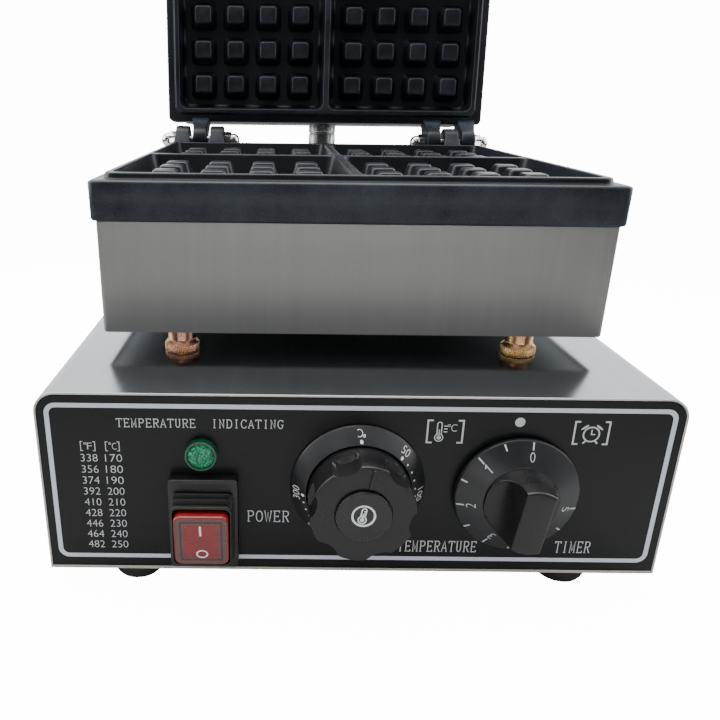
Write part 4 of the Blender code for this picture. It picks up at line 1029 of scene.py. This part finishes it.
def make_grip():
    spin = Matrix.Translation(DIAL) @ Matrix.Rotation(DIAL_REST, 4, "Y") @ TO_FRONT
    count, rings = 360, []
    ledge = 0.016
    levels = [(0.0248, 0.0045, 0), (0.0255, 0.0052, 0), (0.0256, 0.01, 0), (0.0256, ledge - 0.0004, 0),
              (0.0256, ledge, 0.6), (0.0256, ledge + 0.0003, 1), (0.0256, 0.022, 1), (0.0256, 0.027, 1),
              (0.0254, 0.0276, 1), (0.0251, 0.028, 1), (0.0247, 0.0281, 1)]
    for full, z, mix in levels:
        loop = []
        for i in range(count):
            a = 2 * pi * i / count
            r = full + (scoop_radius(a, full) - full) * mix
            loop.append((r * sin(a), r * cos(a), z))
        rings.append(loop)
    for r, z in ((0.0215, 0.0281), (0.015, 0.028), (0.0138, 0.0279), (0.01365, 0.027)):
        rings.append([(r * sin(2 * pi * i / count), r * cos(2 * pi * i / count), z) for i in range(count)])
    bm = bmesh.new()
    loft(bm, rings, True, True)
    rib = rounded_box(0.0009, 0.005, 0.0014, 0.0007, 0.0006)
    join(bm, [moved(rib, (0, 0.0194, 0.0279))])
    piece("knob_scooped", bm, "knob", "temperature_knob", ["temperature_grip"], spin, 45)
    cap = [(0.0134, 0.0272), (0.0134, 0.0288), (0.0131, 0.0297), (0.0124, dish(0.0124))]
    cap += [(r / 10000, dish(r / 10000)) for r in (112, 95, 75, 50, 25, 0)]
    dished = lathe(cap, 96, 0.0006)
    piece("knob_cap", dished, "cap", "temperature_knob", ["temperature_cap"], spin)
    bm = bmesh.new()
    ribbon(bm, circle(0, 0, 0.0053, 48), 0.001, True)
    thermometer(bm, -0.0002, -0.0042, 0.0082, 0.00066, 0.0019, False)
    for v in bm.verts:
        v.co.z = dish(hypot(v.co.x, v.co.y)) + 0.00012
    piece("knob_sign", bm, "white", "temperature_knob", (), spin)


def dish(r):
    """Height of the knob's dished cap above the panel."""
    return 0.0281 + 0.0018 * (r / 0.0124) ** 2


def cone(r):
    """Height of the timer dial's conical face above the panel."""
    return 0.0044 + (0.0308 - r) * 0.0058 / 0.0118


def make_timer():
    spin = Matrix.Translation(TIMER) @ Matrix.Rotation(TIMER_REST, 4, "Y") @ TO_FRONT
    profile = [(0, 0.0012), (0.0308, 0.0012), (0.0314, 0.0018), (0.0314, 0.0038), (0.0308, 0.0044),
               (0.019, 0.0102), (0, 0.0102)]
    dial = lathe(profile, 120, 0.0006)
    piece("timer_cone", dial, "ring", "timer_knob", ["timer_dial"], spin)
    bm = bmesh.new()
    for i in range(11):
        angle = radians(-26.6 * i)
        tick = bmesh.new()
        ribbon(tick, [(0, -0.0018 if i % 2 == 0 else -0.0013), (0, 0.0018)], 0.0008)
        join(bm, [bent(tick, cone, angle, 0.0289)])
        if i == 2:
            one = bmesh.new()
            ribbon(one, [(-0.001, 0.0011), (0.0002, 0.0022), (0.0002, -0.0022)], 0.0006)
            join(bm, [bent(one, cone, angle, 0.0241)])
        elif i % 2 == 0:
            join(bm, [bent(typed(str(i // 2), -0.00125, 0.00125, -0.0022, 0.0022), cone, angle, 0.0241)])
    piece("timer_marks", bm, "ink", "timer_knob", (), spin)

    low, high, count = 0.0105, 0.03, 240
    rings = []
    heights = [low + (0.029 - low) * i / 26 for i in range(27)] + [0.0295, 0.0298, 0.03]
    for z in heights:
        full = 0.0188 - 0.002 * (z - low) / (high - low)
        inset = 0.0
        if z > 0.0288:
            inset = 0.0014 * (1 - sqrt(max(0.0, 1 - ((z - 0.0288) / 0.0012) ** 2)))
        bar = 0.00725 + 0.0113 * (1 - sqrt(max(0.0, 1 - ((high - z) / 0.01808) ** 2)))
        bar, full = min(bar, full) - inset, full - inset
        loop = []
        for i in range(count):
            a = 2 * pi * i / count
            x, y = full * sin(a), full * cos(a)
            if abs(x) > bar:
                x = copysign(bar, x)
            loop.append((x, y, z))
        rings.append(loop)
    bm = bmesh.new()
    loft(bm, rings, True, True)
    piece("timer_bar", bm, "knob", "timer_knob", ["timer_grip"], spin, 40)


# ---------------------------------------------------------------- handle
def make_handle():
    wall, reach, up, half = -(BEHIND + 2 * PLATE_HALF - SKIRT_INSET), 0.046, 0.048, 0.07 - GAP
    taper = [(0.0025, half), (0.009, half), (0.0104, half - 0.0016), (0.0112, half - 0.01),
             (0.0122, half * 0.55)]
    bar = taper + [(0.0125, 0.0)] + [(r, -x) for r, x in reversed(taper)] + [taper[0]]
    spot = LID @ Matrix.Translation((0, wall - reach, up)) @ TO_RIGHT
    grip = lathe(bar, 64, 0.0012)
    piece("handle_turned", grip, "handle", "upper_half", ["handle_grip"], spot)
    thick = 0.003
    for side, way in (("left", -1), ("right", 1)):
        foot_x = way * (0.07 - 0.011 + thick)
        bm = moved(rounded_box(0.011, 0.02, thick / 2, 0.003, 0.0006), (0, 0, 0), TO_FRONT)
        bm = moved(bm, (foot_x, wall - GAP - thick / 2, up))
        outline = [(wall - GAP, up + 0.018), (wall - GAP, up - 0.018)]
        outline += arc(wall - reach, up, 0.011, 270, 90, 20)
        blade = moved(prism(outline, thick, 0.0005, 2), (0, 0, 0), ACROSS)
        join(bm, [moved(blade, (way * (0.07 + thick / 2), 0, 0))])
        node = "handle_arm_" + side
        piece(node + "_bent", bm, "bright", "upper_half", [node], LID, 40)


# ---------------------------------------------------------------- screws and the parts kept from the frame
def cross_screw(head, high):
    bm = lathe([(0, high * 0.55), (head * 0.16, high * 0.55), (head * 0.2, high), (head * 0.55, high * 0.94),
                (head * 0.9, high * 0.5), (head, 0), (0, 0)], 36, 0.0003)
    for v in bm.verts:
        r = hypot(v.co.x, v.co.y)
        near = min(abs(v.co.x), abs(v.co.y))
        if v.co.z > high * 0.6 and near < head * 0.13 and r < head * 0.72:
            v.co.z -= high * 0.42
    return bm


def make_screws():
    for i in range(4):
        node = "rear_screw_%d" % (i + 1)
        spot = behind(node, GAP)
        piece(node + "_cross", cross_screw(0.0034, 0.0016), "chrome", "base", [node], spot)


KEPT = {
    "sheet": ["base_tray", "rear_panel", "lower_base_plate", "element_clamp_lower", "element_clamp_upper"],
    "panel": ["control_panel"],
    "plastic": ["lamp_body", "switch_body", "timer_body", "terminal_block"],
    "bright": ["hinge_pin_left", "hinge_pin_right", "handle_screw_left", "handle_screw_right",
               "thermostat_shaft", "timer_shaft", "thermostat_body"],
    "sheath": ["heating_element_lower", "heating_element_upper"],
    "plated": ["thermostat_bulb"],
    "wool": ["wool_pad_lower", "wool_pad_upper"],
}


def finish_kept():
    for finish, names in KEPT.items():
        for name in names:
            data = frame["nodes"][name].data
            data.materials.clear()
            data.materials.append(M[finish])


# ---------------------------------------------------------------- studio
def area(name, size, power, location, target, tint=(1, 1, 1)):
    light = bpy.data.lights.new(name, "AREA")
    light.shape = "RECTANGLE"
    light.size, light.size_y = size
    light.energy = power
    light.color = tint
    holder = placed(name, light)
    holder.location = location
    holder.rotation_euler = (Vector(target) - Vector(location)).to_track_quat("-Z", "Y").to_euler()


SEEN_WHITE = 14.0  # how white the floor and the backdrop look straight from the camera


def make_world():
    """White to the camera; a dark room in front and a bright one behind, for the sheet metal to mirror."""
    world = bpy.data.worlds.new("studio")
    bpy.context.scene.world = world
    world.use_nodes = True
    tree = world.node_tree
    tree.nodes.clear()
    kinds = ("OutputWorld", "MixShader", "Background", "Background", "LightPath", "TexCoord", "SeparateXYZ",
             "MapRange")
    out, mix, seen, room, path, place, split, ramp = (tree.nodes.new("ShaderNode" + kind) for kind in kinds)
    preset(seen, Color=(1, 1, 1, 1), Strength=SEEN_WHITE + 0.25)
    preset(room, Color=(1, 1, 1, 1))
    preset(ramp, From_Min=-0.75, From_Max=0.25, To_Min=0.05, To_Max=2.6)
    link = tree.links.new
    link(place.outputs["Generated"], split.inputs["Vector"])
    link(split.outputs["Y"], ramp.inputs["Value"])
    link(ramp.outputs["Result"], room.inputs["Strength"])
    link(path.outputs["Is Camera Ray"], mix.inputs["Fac"])
    link(room.outputs["Background"], mix.inputs[1])
    link(seen.outputs["Background"], mix.inputs[2])
    link(mix.outputs["Shader"], out.inputs["Surface"])


def make_studio():
    bpy.ops.mesh.primitive_plane_add(size=60, location=(0, 0, -0.0002))
    floor = bpy.context.object
    floor.name = "studio_floor"
    f = Finish("floor_pale", (0.42, 0.42, 0.42), 0.0, 0.75, Emission_Color=(1, 1, 1, 1),
               Specular_IOR_Level=0.0)
    spread = preset(f.node("ShaderNodeMapping"), Scale=(1.1, 1.1, 1.1))
    # painted pool of light: the floor's colour is light near the machine and dark far from it, for the metal
    # to mirror
    painted_light_pool = f.node("ShaderNodeTexGradient", gradient_type="SPHERICAL")
    f.link(f.place, spread.inputs["Vector"])
    f.link(spread.outputs["Vector"], painted_light_pool.inputs["Vector"])
    f.tint(f.ramp(f.ranged(painted_light_pool.outputs["Fac"], 0, 1, 0.15, 0.55),
                  [(0, (0.07, 0.07, 0.07)), (1, (0.48, 0.48, 0.48))]))
    f.gloss(f.ranged(f.noise(3, 3), 0.7, 0.8))
    seen = f.node("ShaderNodeLightPath").outputs["Is Camera Ray"]
    f.link(f.times(seen, SEEN_WHITE), f.shader.inputs["Emission Strength"])
    floor.data.materials.append(f.material)
    make_world()
    area("key_top", (1.5, 1.1), 26, (-0.15, 0.25, 1.5), (0, 0, 0.1))
    area("left_box", (0.8, 1.0), 12, (-1.3, 0.0, 0.7), (0, 0, 0.15))
    area("right_box", (0.8, 1.0), 9, (1.3, 0.0, 0.7), (0, 0, 0.15))
    area("front_strip", (1.0, 0.25), 1.2, (-0.5, -1.4, 1.3), (0, -0.1, 0.1))
    area("low_fill", (1.2, 0.1), 2.2, (0, -1.1, 0.13), (0, -0.1, 0.12))


def make_camera():
    """Close in front of the base, a little left of its middle, and looking down at it."""
    data = bpy.data.cameras.new("camera")
    data.sensor_width = 36.0
    data.lens = 35.32
    data.shift_x = 0.118
    data.clip_start, data.clip_end = 0.02, 100
    camera = placed("camera", data)
    turn = Matrix.Rotation(radians(-0.09), 4, "Z") @ Matrix.Rotation(radians(90 - 20.41), 4, "X")
    place = Matrix.Translation((-0.0428, CASE_LOW.y - 0.3129, CASE_LOW.z + 0.2354))
    camera.matrix_world = place @ turn @ Matrix.Rotation(radians(0.67), 4, "Z")
    bpy.context.scene.camera = camera


make_camera()
make_conduit()
make_castings()
make_skirt()
make_upper_cover()
make_casing()
make_print()
make_posts()
make_feet()
make_nuts()
make_glands()
make_lamp()
make_switch()
make_dial_ring()
make_grip()
make_timer()
make_handle()
make_screws()
finish_kept()
make_studio()

bpy.context.view_layer.update()
